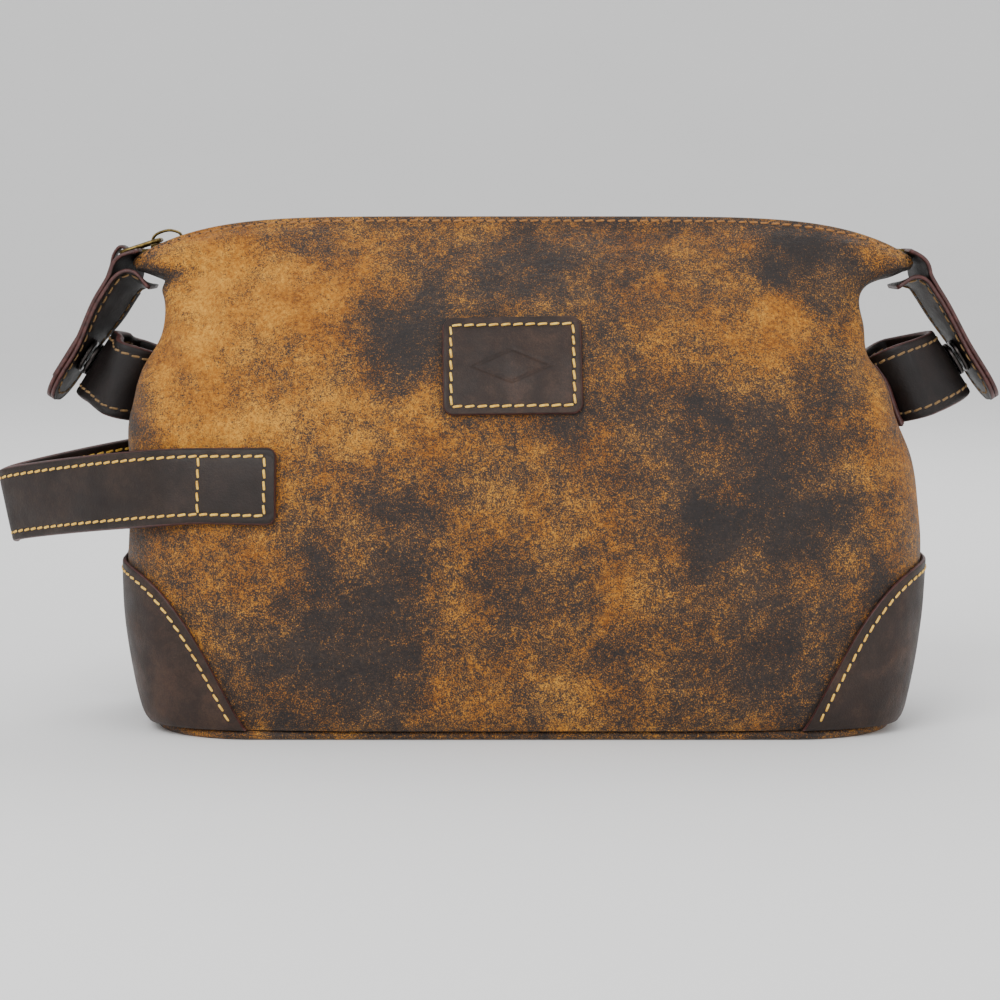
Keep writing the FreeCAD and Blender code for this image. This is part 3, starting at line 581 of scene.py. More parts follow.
BODY = distressed_leather()
DARK = waxed_leather("waxed_leather", srgb(24, 14, 10), srgb(40, 26, 19), srgb(66, 45, 33))
STRAP = waxed_leather("handle_leather", srgb(20, 12, 9), srgb(33, 22, 17), srgb(53, 38, 29))
# Painted shade: a darker copy of the waxed leather for the side straps, tabs and puller, as if they lay in
# shadow.
SHADED_LEATHER = waxed_leather("shaded_strap_leather", srgb(10, 5, 4), srgb(16, 9, 8), srgb(30, 19, 15))
EDGE = plain_shade("cut_edge", srgb(44, 20, 19), srgb(84, 46, 42), 500, 0.5)
BODY_EDGE = plain_shade("body_cut_edge", srgb(70, 46, 30), srgb(104, 72, 48), 500, 0.6)
FLESH = plain_shade("flesh_side", srgb(92, 70, 52), srgb(122, 96, 72), 300, 0.9, 0.0003)
THREAD = plain_shade("gold_thread", srgb(206, 146, 40), srgb(252, 212, 98), 900, 0.5)
# Painted shade: a darker copy of the gold thread for the stitches on the shaded straps, tabs and puller.
SHADED_THREAD = plain_shade("shaded_thread", srgb(96, 72, 42), srgb(140, 110, 68), 900, 0.7)
TOP_THREAD = plain_shade("tan_thread", srgb(120, 76, 30), srgb(166, 112, 52), 900, 0.7)
# Painted shade: the dark colour of the domes that stand in for the shadowed needle holes.
HOLE_SHADE = plain_shade("needle_hole_shade", srgb(26, 18, 15), srgb(38, 28, 22), 900, 0.8)
BRASS = plain_shade("antique_brass", srgb(44, 37, 22), srgb(142, 120, 70), 420, 0.36, 0.00006, 1.0)
SNAP = plain_shade("snap_metal", srgb(38, 35, 35), srgb(78, 73, 70), 300, 0.32, 0.00004, 1.0)
COIL = plain_shade("coil_nylon", srgb(46, 34, 26), srgb(70, 54, 42), 700, 0.42)
TAPE = woven("zip_tape", srgb(40, 30, 24), srgb(74, 57, 46), 1500)
LINING = woven("lining_cloth", srgb(64, 52, 42), srgb(104, 88, 72), 1800)
BOARD = plain_shade("stiff_board", srgb(110, 98, 84), srgb(140, 128, 112), 200, 0.9)


def dress(piece, slot_name, body, *stands_for):
    """Hands a finished piece to its body, and hides the CAD nodes that it stands for. slot_name is not used."""
    if isinstance(body, str):
        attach(piece, body)
    else:
        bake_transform(piece)
    if stands_for:
        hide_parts(*stands_for)
    return piece


# ---------------------------------------------------------------- the bag

# Where the dark finish is left, on the front: middle x, middle z, reach in x, reach in z, and how strongly.
# Below zero, it is rubbed away.
CLOUDS = [
    (-102, 150, 24, 26, -0.66), (-66, 150, 14, 16, -0.34),
    (-113, 116, 18, 24, -0.46), (-62, 119, 26, 18, -0.30),
    (80, 137, 24, 13, -0.58), (123, 160, 8, 12, -0.40), (125, 95, 12, 34, -0.42), (-42, 102, 26, 12, -0.24),
    (14, 24, 28, 30, -0.14), (-22, 164, 10, 8, -0.22), (58, 160, 14, 10, -0.16), (-104, 62, 16, 16, -0.14),
    (-32, 141, 15, 20, 0.42), (14, 112, 22, 14, 0.26), (98, 161, 21, 12, 0.50), (76, 78, 24, 32, 0.48),
    (-66, 26, 42, 20, 0.44), (102, 12, 20, 14, 0.20), (86, 26, 20, 18, 0.24), (4, 158, 24, 10, 0.30),
    (121, 60, 8, 26, 0.30), (-8, 84, 16, 12, 0.16), (-48, 62, 16, 14, 0.20), (34, 30, 26, 10, 0.14),
]


FINISH_LEFT = 0.63
BACK_SHIFT = (34, 9)


def rub_and_shade_field(points):
    """How much of the dark finish is left at each point, about 0 to 1, with painted shade added under the ears
    beside the end seams.
    """
    front = points[..., 1] < 0
    x = np.where(front, points[..., 0], BACK_SHIFT[0] - points[..., 0])
    z = np.where(front, points[..., 2], points[..., 2] + BACK_SHIFT[1])
    warp_x = x + 7 * waves(points, 16, 21)
    warp_z = z + 6 * waves(points, 14, 22)
    total = np.full(x.shape, 0.0)
    for middle_x, middle_z, reach_x, reach_z, weight in CLOUDS:
        far = ((warp_x - middle_x) / reach_x) ** 2 + ((warp_z - middle_z) / reach_z) ** 2
        total += weight * np.exp(-far)
    reach, across, up = np.abs(points[..., 0]), np.abs(points[..., 1]), points[..., 2]
    # Painted shade: the undersides of the ears beside the end seams are darkened as if they lay in shadow.
    painted_shade_under_ear = soft_step(112, 122, reach) * soft_step(137, 149, up) * (1 - soft_step(156.5, 160.5, up))
    near_seam = 1 - soft_step(9, 20, across)
    return FINISH_LEFT + total + 0.06 * waves(points, 30, 23) + 0.9 * painted_shade_under_ear * near_seam


def piece_points(piece):
    """A piece's points in mm."""
    flat = np.empty(len(piece.data.vertices) * 3, dtype=np.float32)
    piece.data.vertices.foreach_get("co", flat)
    return flat.reshape(-1, 3).astype(float) / MM


def add_rub_and_shade(piece):
    """Gives a piece the field that its distressed leather reads: the rubbed finish, and painted shade under the
    ears.
    """
    layer = piece.data.attributes.new("rub_and_shade", "FLOAT", "POINT")
    layer.data.foreach_set("value", rub_and_shade_field(piece_points(piece)).astype(np.float32))
    return piece


END_MARGIN = 0.12


def make_side(name, front):
    """The front or the back: leather from the bottom seam over its turned top edge."""
    rows = np.linspace(0.08, TOP_LEVEL - 0.14, 150)
    rows = np.concatenate([[0, 0.03], rows, [TOP_LEVEL - 0.05, TOP_LEVEL]])
    columns = np.linspace(-90 + END_MARGIN, 90 - END_MARGIN, 250)
    columns = np.concatenate([[-90 + END_MARGIN / 3], columns, [90 - END_MARGIN / 3]])
    around = columns if front else np.where(columns < 0, -180 - columns, 180 - columns)
    level, angle = rows[:, None], around[None]
    outer = leather(level, angle)
    inner = leather(level, angle, -LEATHER)
    inner[..., 1] = np.minimum(inner[..., 1], -0.1) if front else np.maximum(inner[..., 1], 0.1)
    side = slab(name, outer, inner, [BODY, BODY_EDGE, FLESH], 0.3, 0)
    return dress(add_rub_and_shade(side), "tan_leather", "root", name.replace("leather", "panel"))


make_side("front_leather", True)
make_side("back_leather", False)

CORNER = 36.0
CORNER_POINTS = 40
HALF_LONG = 128.0
HALF_DEEP = 57.0
# The bottom's edge from its upper face round to its lower one: inset and height.
BOTTOM_EDGE = [
    (20, 2.9), (1.6, 3.0), (0.5, 2.8), (0.05, 2.2), (-0.15, 1.5), (0.05, 0.8), (0.5, 0.2), (1.6, 0), (20, 0),
]


def rounded_plan(inset):
    """A rounded rectangle in plan, inset from the bottom's outline."""
    radius = CORNER - inset
    corners = []
    quarter = np.linspace(0, math.pi / 2, CORNER_POINTS)
    for k, (sign_x, sign_y) in enumerate(((1, 1), (-1, 1), (-1, -1), (1, -1))):
        angle = quarter + k * math.pi / 2
        x = sign_x * (HALF_LONG - CORNER) + radius * np.cos(angle)
        y = sign_y * (HALF_DEEP - CORNER) + radius * np.sin(angle)
        corners.append(np.stack([x, y], axis=-1))
    return np.concatenate(corners)


def make_bottom():
    """The leather bottom with its rolled edge."""
    rings = []
    for inset, height in BOTTOM_EDGE:
        plan = rounded_plan(inset)
        rings.append(np.column_stack([plan, np.full(len(plan), height)]))
    grid = np.stack(rings)
    count = grid.shape[1]
    faces = list(quads(len(BOTTOM_EDGE), count, closed=True)[:, ::-1])
    faces.append(list(range(count)))
    faces.append(list(range((len(BOTTOM_EDGE) - 1) * count, len(BOTTOM_EDGE) * count))[::-1])
    bottom = add_mesh("bottom_leather", grid.reshape(-1, 3), faces, [BODY])
    dress(add_rub_and_shade(bottom), "tan_leather", "root", "bottom_panel")


make_bottom()

BOOT_START = 37.25
BOOT_TOP = 58.8
BOOT_RUN = 66.0
BOOT_SWEEP = 3.9
BOOT_LOW = 3.3
BOOT_NEAR = 0.35
BOOT_FAR = 1.95
SEAM_INSET = 3.1


def boot_plan(mirror):
    """The angles of a boot's columns, their distances along the wall, and the height of its top edge."""
    half = np.concatenate([[BOOT_START, BOOT_START + 0.12], np.linspace(BOOT_START + 0.5, 90, 70)])
    around = np.concatenate([half, 180 - half[-2::-1]])
    line = wall(2.0, around)
    along = np.concatenate([[0], np.cumsum(np.linalg.norm(np.diff(line, axis=0), axis=1))])
    share = np.clip(np.minimum(along, along[-1] - along) / BOOT_RUN, 0, 1)
    top = np.maximum(BOOT_TOP - (BOOT_TOP - BOOT_LOW) * (1 - share) ** BOOT_SWEEP, BOOT_LOW + 1.2)
    return around * mirror, along, top


def make_boot(name, mirror):
    """A patch wrapped round one lower end, sewn along its sweeping top edge."""
    around, along, top = boot_plan(mirror)
    shares = np.concatenate([[0, 0.006], np.linspace(0.02, 0.985, 46), [0.995, 1.0]])
    height = BOOT_LOW + (top[None] - BOOT_LOW) * shares[:, None]
    level = level_at(height)
    outer, inner = leather(level, around[None], BOOT_FAR), leather(level, around[None], BOOT_NEAR)
    for grid in (outer, inner):
        grid[..., 2] = np.maximum(grid[..., 2], BOOT_LOW)
    boot = slab(name, outer, inner, [DARK, EDGE, FLESH])
    dress(boot, "dark_leather", "root", name)

    slope = unit(np.stack([np.gradient(along), np.gradient(top)], axis=-1))
    seam_along, seam_top = along + slope[:, 1] * SEAM_INSET, top - slope[:, 0] * SEAM_INSET
    keep = (seam_top > BOOT_LOW + 1.5) & (np.diff(seam_along, prepend=-1) > -0.5)
    seam_around = np.interp(seam_along[keep], along, around * mirror) * mirror
    seam_level = level_at(seam_top[keep])
    seam = Seam(THREAD)
    seam.row(leather(seam_level, seam_around, BOOT_FAR - 0.05), wall_normal(seam_level, seam_around))
    dress(seam.build(name + "_stitches"), "dark_leather", "root")


make_boot("left_boot", -1)
make_boot("right_boot", 1)


def on_front(x, z, out):
    """Points of the draped front at these x and z, and the normals there."""
    x, z = np.broadcast_arrays(np.asarray(x, float), np.asarray(z, float))
    levels = level_at(z)
    around = np.empty_like(x)
    flat_levels, flat_x, flat_around = levels.ravel(), x.ravel(), around.ravel()
    angles = np.linspace(-78, 78, 400)
    for level in np.unique(flat_levels):
        here = flat_levels == level
        flat_around[here] = np.interp(flat_x[here], wall(level, angles)[:, 0], angles)
    around = flat_around.reshape(x.shape)
    return leather(levels, around, out), wall_normal(levels, around)


LABEL_LONG = 46.9
LABEL_HIGH = 33.5 * 0.93
LABEL_X = -4.0
LABEL_Z = 125.5
LABEL_TILT = math.radians(0.8)
LABEL_CORNER = 3.3
LABEL_NEAR = 0.25
LABEL_FAR = 2.1
LOZENGE_HALF_LONG = 13
LOZENGE_HALF_HIGH = 5.2
LOZENGE_DEEP = 0.34


def label_place(along, across):
    """The x and z of a place on the label, from its middle."""
    x = LABEL_X + along * math.cos(LABEL_TILT) - across * math.sin(LABEL_TILT)
    z = LABEL_Z + across * math.cos(LABEL_TILT) + along * math.sin(LABEL_TILT)
    return x, z


def make_label():
    """The blank sewn patch, with a plain lozenge pressed into it."""
    up, wide = outline(LABEL_HIGH, LABEL_LONG / 2, LABEL_CORNER, LABEL_CORNER, 0.35)
    share = spread(2.0, 0.35 / (LABEL_LONG / 2), 0.28 / (LABEL_LONG / 2)) - 1
    along = wide[:, None] * share[None]
    across = np.broadcast_to(up[:, None] - LABEL_HIGH / 2, (len(up), len(share)))
    lozenge = np.abs(np.abs(along) / LOZENGE_HALF_LONG + np.abs(across) / LOZENGE_HALF_HIGH - 1)
    pressed = -LOZENGE_DEEP * np.exp(-((lozenge / 0.09) ** 2))
    border = LABEL_LONG / 2 - SEAM_INSET + 0.5
    near_seam = np.maximum(np.abs(along) - border, np.abs(across) - (LABEL_HIGH / 2 - SEAM_INSET + 0.5))
    pressed = pressed - 0.14 * np.exp(-((near_seam / 0.7) ** 2))
    pressed = pressed + 0.12 * waves(np.stack([along, across, across], -1), 9, 4)
    x, z = label_place(along, across)
    outer, inner = on_front(x, z, 0.0), on_front(x, z, LABEL_NEAR)
    face = outer[0] + outer[1] * (LABEL_FAR + pressed)[..., None]
    dress(slab("label_patch", face, inner[0], [DARK, EDGE, FLESH]), "dark_leather", "root", "label_patch")

    half_long, half_high = LABEL_LONG / 2 - 2.7, LABEL_HIGH / 2 - 2.5
    seam = Seam(THREAD)
    corners = [(-half_long, -half_high), (half_long, -half_high)]
    corners += [(half_long, half_high), (-half_long, half_high)]
    for (ax, az), (bx, bz) in zip(corners, corners[1:] + corners[:1]):
        t = np.linspace(0, 1, 30)
        x, z = label_place(ax + (bx - ax) * t, az + (bz - az) * t)
        points, normals = on_front(x, z, LABEL_FAR - 0.12)
        seam.row(points, normals, 4.0)
    dress(seam.build("label_stitches"), "dark_leather", "root")


make_label()


def make_top_seams():
    """The rows of stitches along both turned top edges."""
    for name, sign in (("front", 1), ("back", -1)):
        angles = np.linspace(-80, 80, 260)
        around = angles if sign > 0 else np.where(angles < 0, -180 - angles, 180 - angles)
        level = np.full(len(around), TOP_LEVEL - 0.42)
        seam = Seam(TOP_THREAD)
        seam.row(leather(level, around, -0.12), wall_normal(level, around))
        dress(seam.build(name + "_top_stitches"), "tan_leather", "root")


make_top_seams()

# ---------------------------------------------------------------- strips: handle, tabs, side straps, puller

STRAP_THICK = 1.5
STRAP_WIDE = 25.0


def smooth_rows(grid, first, last, rounds):
    """Evens out a grid between two of its rows, along its length."""
    for _ in range(rounds):
        even = (grid[:-2] + 2 * grid[1:-1] + grid[2:]) / 4
        grid[first:last] = even[first - 1:last - 1]


def row_frames(grid):
    """Unit normals of a grid of points: along its rows turned about its columns."""
    along = np.gradient(grid, axis=0)
    across = np.gradient(grid, axis=1)
    return unit(np.cross(along, across))


def band(name, middle, materials, seam_rows, body, stands_for, flip):
    """A two-ply band about a middle surface, with rows of stitches along its edges on both faces.

    middle holds the band's middle surface, a row of points across it for each place along it."""
    normals = row_frames(middle) * flip
    # Bands in the painted-shade leather get the painted-shade thread.
    thread = SHADED_THREAD if SHADED_LEATHER in materials else THREAD
    wide = np.linalg.norm(middle[:, -1] - middle[:, 0], axis=-1)[:, None] / 2
    share = np.linspace(-1, 1, middle.shape[1])[None]
    press = groove(share * wide, wide, SEAM_INSET)[..., None]
    outer = middle + normals * (STRAP_THICK + press)
    inner = middle - normals * (STRAP_THICK + press)
    piece = slab(name, outer, inner, materials, 0.1)
    dress(piece, "dark_leather", body, *stands_for)
    seam = Seam(thread)
    for first, last, column in seam_rows:
        at = column * (middle.shape[1] - 1)
        low = int(at)
        rest = at - low
        high = min(low + 1, middle.shape[1] - 1)
        for grid, sign in ((outer, 1), (inner, -1)):
            line = grid[first:last, low] * (1 - rest) + grid[first:last, high] * rest
            seam.row(line, normals[first:last, low] * sign)
    return seam, outer, normals


HANDLE_TIP_X = 183.0
HANDLE_MID_Z = 86.0
HANDLE_TIP_Z = 74.0
HANDLE_WIDE = 26.0
HANDLE_HALF_SPAN = 54.8
HANDLE_TIP_BEND = 5.0
HANDLE_SPREAD = 1.32
HANDLE_BULGE = 20.0
HANDLE_DROOP = 0.9
HANDLE_TIP_LEAN = 0.2
HANDLE_FOOT_LEAN = 0.21
FOOT_FAR = -83.0
FOOT_ROUND = 3.0
FOOT_NEAR = -110.0


def handle_loop(share, across):
    """The handle's middle surface off the bag. share is -1 at its front end, 0 at its tip, 1 at its back."""
    side = np.where(share < 0, -1.0, 1.0)
    rest = np.abs(share)
    y = HANDLE_HALF_SPAN * rest
    from_tip = HANDLE_SPREAD * (np.hypot(y, HANDLE_TIP_BEND) - HANDLE_TIP_BEND)
    x = -HANDLE_TIP_X + from_tip - HANDLE_BULGE * rest**2 * (1 - rest)
    z = HANDLE_TIP_Z + (HANDLE_MID_Z - HANDLE_TIP_Z) * rest**HANDLE_DROOP
    lean_x, lean_y = -HANDLE_TIP_LEAN * (1 - rest), -side * HANDLE_FOOT_LEAN * rest**2
    up = unit(np.stack([lean_x, lean_y, np.ones_like(rest)], axis=-1))
    return np.stack([x, side * y, z], axis=-1)[:, None] + up[:, None] * across[None, :, None]


def foot_rows(x, across, out):
    """The handle's middle surface where it lies on the front of the bag."""
    lengths = np.broadcast_to(x[:, None], (len(x), len(across)))
    narrow = 1 - corner_loss(FOOT_FAR - x, FOOT_ROUND)[:, None] / (HANDLE_WIDE / 2)
    heights = np.broadcast_to(HANDLE_MID_Z + across[None] * 0.97 * narrow, lengths.shape)
    return on_front(lengths, heights, out)[0]


def make_handle():
    """The carrying handle: one band from its front foot, round its tip, to its back foot."""
    across = spread(HANDLE_WIDE, 0.7) - HANDLE_WIDE / 2
    foot_x = FOOT_FAR - outline(FOOT_FAR - FOOT_NEAR, HANDLE_WIDE / 2, FOOT_ROUND, 0.1, 0.8)[0][:-4]
    foot = foot_rows(foot_x, across, 0.3 + STRAP_THICK)
    shares = np.linspace(-1, 1, 231)
    shares = np.sign(shares) * np.abs(shares) ** 1.35
    loop = handle_loop(shares[np.abs(shares) < 0.985], across)
    back_foot = foot[::-1] * np.array([1.0, -1.0, 1.0])
    middle = np.concatenate([foot, loop, back_foot])
    count, join = len(middle), len(foot)
    for at in (join, count - join):
        smooth_rows(middle, at - 9, at + 9, 30)
    seam_columns = (SEAM_INSET / HANDLE_WIDE, 1 - SEAM_INSET / HANDLE_WIDE)
    places = across + HANDLE_WIDE / 2
    columns = [np.interp(c * HANDLE_WIDE, places, np.arange(len(across))) for c in seam_columns]
    columns = [c / (len(across) - 1) for c in columns]
    first = int(np.argmin(np.abs(foot_x - (FOOT_FAR - 3.4))))
    body = ("root", "handle", (-110, 0, 86), (-122, 0, 86))
    nodes = ("handle_outer_ply", "handle_inner_ply", "handle_front_anchor", "handle_back_anchor")
    rows = [(first, count - first, c) for c in columns]
    materials = [STRAP, EDGE, STRAP]
    seam, outer, normals = band("handle_leather", middle, materials, rows, body, nodes, -1.0)
    box_end = int(np.argmin(np.abs(foot_x + 108.5)))
    low, high = (round(c * (len(across) - 1)) for c in sorted(columns))
    for row in (first, box_end):
        for at in (row, count - 1 - row):
            seam.row(outer[at, low:high + 1], normals[at, low:high + 1])
    dress(seam.build("handle_stitches"), "dark_leather", body)


make_handle()

STRAP_HALF_SPAN = 24.0
# The middle of a strap's upper and lower edge, in x and z.
STRAP_TOP = (143.4, 136)
STRAP_LOW = (157.5, 114)


def strap_loop(share, across):
    """A side strap's middle surface. share is -1 at its front end to 1 at its back, across 0 at the top."""
    arch, fall = np.abs(share) ** 2.3, share**2
    y = STRAP_HALF_SPAN * share
    top = np.stack([STRAP_TOP[0] - 19.5 * arch, y, STRAP_TOP[1] - 5 * fall], axis=-1)
    low = np.stack([STRAP_LOW[0] - 23.5 * arch, y, STRAP_LOW[1] - 9 * fall], axis=-1)
    return top[:, None] + (low - top)[:, None] * across[None, :, None]


def make_strap(name, mirror):
    """A side strap whose two ends are sewn flat to the end of the bag."""
    across = spread(STRAP_WIDE, 0.7) / STRAP_WIDE
    turns = np.linspace(69, 82, 16)
    heights = 130.0 - 24.5 * across
    grid_turns, grid_levels = np.broadcast_arrays(turns[:, None], level_at(heights)[None])
    foot = leather(grid_levels, mirror * grid_turns, 0.3 + STRAP_THICK)
    loop = strap_loop(np.linspace(-0.97, 0.97, 90), across) * np.array([mirror, 1.0, 1.0])
    depth = level_value(level_at(loop[..., 2]), 2)
    loop[..., 0] -= left_fullness(loop[..., 0], np.abs(loop[..., 1]) / depth, loop[..., 2])
    middle = np.concatenate([foot, loop, foot[::-1] * np.array([1.0, -1.0, 1.0])])
    count, join = len(middle), len(foot)
    for at in (join, count - join):
        smooth_rows(middle, at - 7, at + 7, 24)
    column = np.interp(SEAM_INSET / STRAP_WIDE, across, np.arange(len(across))) / (len(across) - 1)
    rows = [(3, count - 3, column), (3, count - 3, 1 - column)]
    body = ("root", f"{name}_strap", (mirror * 121, 0, 118), (mirror * 131, 0, 118))
    ends = [f"{name}_strap_front_anchor", f"{name}_strap_back_anchor"]
    nodes = (f"{name}_strap_outer_ply", f"{name}_strap_inner_ply", *ends)
    # The strap is made in the painted-shade leather.
    materials = [SHADED_LEATHER, EDGE, SHADED_LEATHER]
    seam = band(f"{name}_shaded_strap_leather", middle, materials, rows, body, nodes, -mirror)[0]
    dress(seam.build(f"{name}_strap_stitches"), "dark_leather", body)


make_strap("left", -1)
make_strap("right", 1)

TAB_SLOPE = math.radians(57.5)
TAB_HINGE = np.array([137.8, 158.0])
TAB_LONG = 54.0
TAB_ROUND = 11.0
TAB_HALF = 12.5
PLY = 1.55
TWIST_LEFT = math.radians(20)
TWIST_RIGHT = math.radians(9)
DOWN = np.array([math.cos(TAB_SLOPE), -math.sin(TAB_SLOPE)])
OUTWARD = np.array([math.sin(TAB_SLOPE), math.cos(TAB_SLOPE)])


def tab_point(along, out):
    """A place on a right-hand tab, in x and z."""
    return TAB_HINGE + DOWN * along + OUTWARD * out


def tab_twist(mirror, along):
    """How far a tab has turned about its own length, in radians, at each distance from its grip."""
    most = TWIST_LEFT if mirror < 0 else TWIST_RIGHT
    return most * soft_step(0, 9, along) * (1 - 0.65 * soft_step(20, 42, along))


def turned(strip, along, across, out, twist):
    """Points of a strip that is turned about its own length, and the normals there."""
    middle, normal = strip.at(along, np.zeros_like(across), 0.0)
    sideways = np.array([0, 1.0, 0])
    cosine, sine = np.cos(twist)[..., None], np.sin(twist)[..., None]
    over = normal * cosine + sideways * sine
    return middle + (sideways * cosine - normal * sine) * across[..., None] + over * out, over


def make_ply(name, mirror, corners, near, far, nodes, seam_face):
    """One ply of a tab, from its grip on the ear down to its round tip, with its stitches."""
    strip = Strip(corners)
    along, wide = outline(strip.length, TAB_HALF, 1.5, TAB_ROUND, 0.9)
    share = spread(2.0, 0.06, 0.28 / TAB_HALF) - 1
    grid_along, across = np.broadcast_arrays(along[:, None], wide[:, None] * share[None])
    press = groove(across, wide[:, None], SEAM_INSET)
    lift_far, lift_near = (far + press, near) if seam_face > 0 else (far, near - press)
    twist = tab_twist(mirror, grid_along)
    outer, normal = turned(strip, grid_along, across, 0.0, twist)
    flip = np.array([mirror, 1.0, 1.0])
    top = outer + normal * np.asarray(lift_far)[..., None]
    low = outer + normal * np.asarray(lift_near)[..., None]
    # Both tab plies are made in the painted-shade leather.
    piece = slab(name, top * flip, low * flip, [SHADED_LEATHER, EDGE, SHADED_LEATHER], 0.1)
    body = ("root", name.split("_")[0] + "_tab", *tab_blend(mirror))
    dress(piece, "dark_leather", body, *nodes)
    tip = strip.length - TAB_ROUND
    turn = np.linspace(0, math.pi / 2, 14)
    curve_along = tip + (TAB_ROUND - SEAM_INSET) * np.sin(turn)
    curve_across = (TAB_HALF - TAB_ROUND) + (TAB_ROUND - SEAM_INSET) * np.cos(turn)
    run = np.linspace(4.5, tip, 40)
    line_along = np.concatenate([run, curve_along, curve_along[::-1], run[::-1]])
    straight = np.full(len(run), TAB_HALF - SEAM_INSET)
    line_across = np.concatenate([straight, curve_across, -curve_across[::-1], -straight])
    height = far - 0.1 if seam_face > 0 else near + 0.1
    points, normals = turned(strip, line_along, line_across, height, tab_twist(mirror, line_along))
    # The tab's stitches use the painted-shade thread.
    seam = Seam(SHADED_THREAD)
    seam.row(points * flip, normals * flip * seam_face)
    return seam, body


def tab_blend(mirror):
    """Two places on a tab's grip, one by the ear and one 5 mm down the tab, kept with its body."""
    start, end = np.array([135.4, 161.6]), tab_point(5.0, 0.0)
    return (mirror * start[0], 0, start[1]), (mirror * end[0], 0, end[1])


def make_tab(name, mirror):
    """A tab's two plies, which grip the ear between them and are sewn together below it."""
    straight = [tab_point(a, 0.0) for a in (8.0, 16.0, 30.0, TAB_LONG)]
    over = [(134.4, 164.1), (137.0, 162.2), (138.9, 159.6), tab_point(3.2, 0.35), *straight]
    nodes = (f"{name}_tab_outer_ply", f"{name}_tab_anchor")
    seam, body = make_ply(f"{name}_tab_outer_leather", mirror, over, 0.02, 0.02 + PLY, nodes, 1)
    dress(seam.build(f"{name}_tab_outer_stitches"), "dark_leather", body)
    under = [(130.2, 152.4), (133.8, 154.0), (137.2, 154.6), tab_point(5.2, -0.4)]
    under += [tab_point(a, 0.0) for a in (10.0, 18.0, 30.0, TAB_LONG)]
    nodes = (f"{name}_tab_inner_ply", f"{name}_tab_anchor")
    seam, body = make_ply(f"{name}_tab_inner_leather", mirror, under, -0.02 - PLY, -0.02, nodes, -1)
    dress(seam.build(f"{name}_tab_inner_stitches"), "dark_leather", body)


make_tab("left", -1)
make_tab("right", 1)


# ---------------------------------------------------------------- metal and zip

def lathe(name, origin, x_axis, z_axis, profile, material, steps=48, closed=True):
    """A turned piece: radius and height pairs spun about z_axis through origin."""
    z_axis, x_axis = unit(np.array(z_axis, float)), unit(np.array(x_axis, float))
    y_axis = np.cross(z_axis, x_axis)
    turn = np.linspace(0, 2 * math.pi, steps, endpoint=False)
    rings = []
    for radius, height in profile:
        ring = x_axis[None] * (np.cos(turn) * radius)[:, None]
        ring = ring + y_axis[None] * (np.sin(turn) * radius)[:, None]
        rings.append(np.array(origin) + ring + z_axis * height)
    faces = list(quads(len(profile), steps, closed=True))
    if closed:
        faces.append(list(range(steps))[::-1])
    faces.append(list(range((len(profile) - 1) * steps, len(profile) * steps)))
    return add_mesh(name, np.concatenate(rings), faces, [material])


SNAP_ALONG = 34.6
SNAP_RADIUS = 6.2
SNAP_THICK = 1.6


def snap_profile(thick):
    """A snap's half section: rounded rim, flat face, and a shallow dished middle with a stud."""
    r = SNAP_RADIUS
    return [
        (r - 0.5, 0), (r - 0.1, 0.12), (r, 0.45),
        (r, thick - 0.5), (r - 0.15, thick - 0.15), (r - 0.6, thick), (4.4, thick - 0.02),
        (4.0, thick - 0.3), (2.4, thick - 0.34), (2.0, thick - 0.12), (1.5, thick - 0.08),
    ]


def make_snaps(name, mirror):
    """The magnetic stud inside a tab and the one on its strap."""
    out = np.array([mirror * OUTWARD[0], 0, OUTWARD[1]])
    down = np.array([mirror * DOWN[0], 0, DOWN[1]])
    x, z = tab_point(SNAP_ALONG, -PLY - 0.1)
    stud = lathe(f"{name}_tab_snap", (mirror * x, 0, z), down, -out, snap_profile(SNAP_THICK), SNAP)
    dress(stud, "snap_metal", f"{name}_tab", f"{name}_tab_magnet")
    middle = np.array([mirror * (STRAP_TOP[0] + STRAP_LOW[0]) / 2, 0, (STRAP_TOP[1] + STRAP_LOW[1]) / 2])
    seat = middle + out * (STRAP_THICK + 0.1)
    socket = lathe(f"{name}_strap_snap", seat, down, out, snap_profile(SNAP_THICK), SNAP)
    dress(socket, "snap_metal", f"{name}_strap", f"{name}_strap_magnet")


make_snaps("left", -1)
make_snaps("right", 1)

CHAIN_Z = 174.0
CHAIN_RADIUS = 886.0
CHAIN_REACH = 131.5
SLIDER_X = -125.0


def chain_height(x):
    """The height of the zip's middle line at this x."""
    return CHAIN_Z - CHAIN_RADIUS + np.sqrt(CHAIN_RADIUS**2 - np.asarray(x, float) ** 2)


def on_slider(points):
    """Points given in the slider's own frame, moved to its place on the chain."""
    tilt = math.asin(SLIDER_X / CHAIN_RADIUS)
    x, y, z = points[..., 0], points[..., 1], points[..., 2]
    out_x = x * math.cos(tilt) + z * math.sin(tilt) + SLIDER_X
    out_z = -x * math.sin(tilt) + z * math.cos(tilt) + float(chain_height(SLIDER_X))
    return np.stack([out_x, y, out_z], axis=-1)


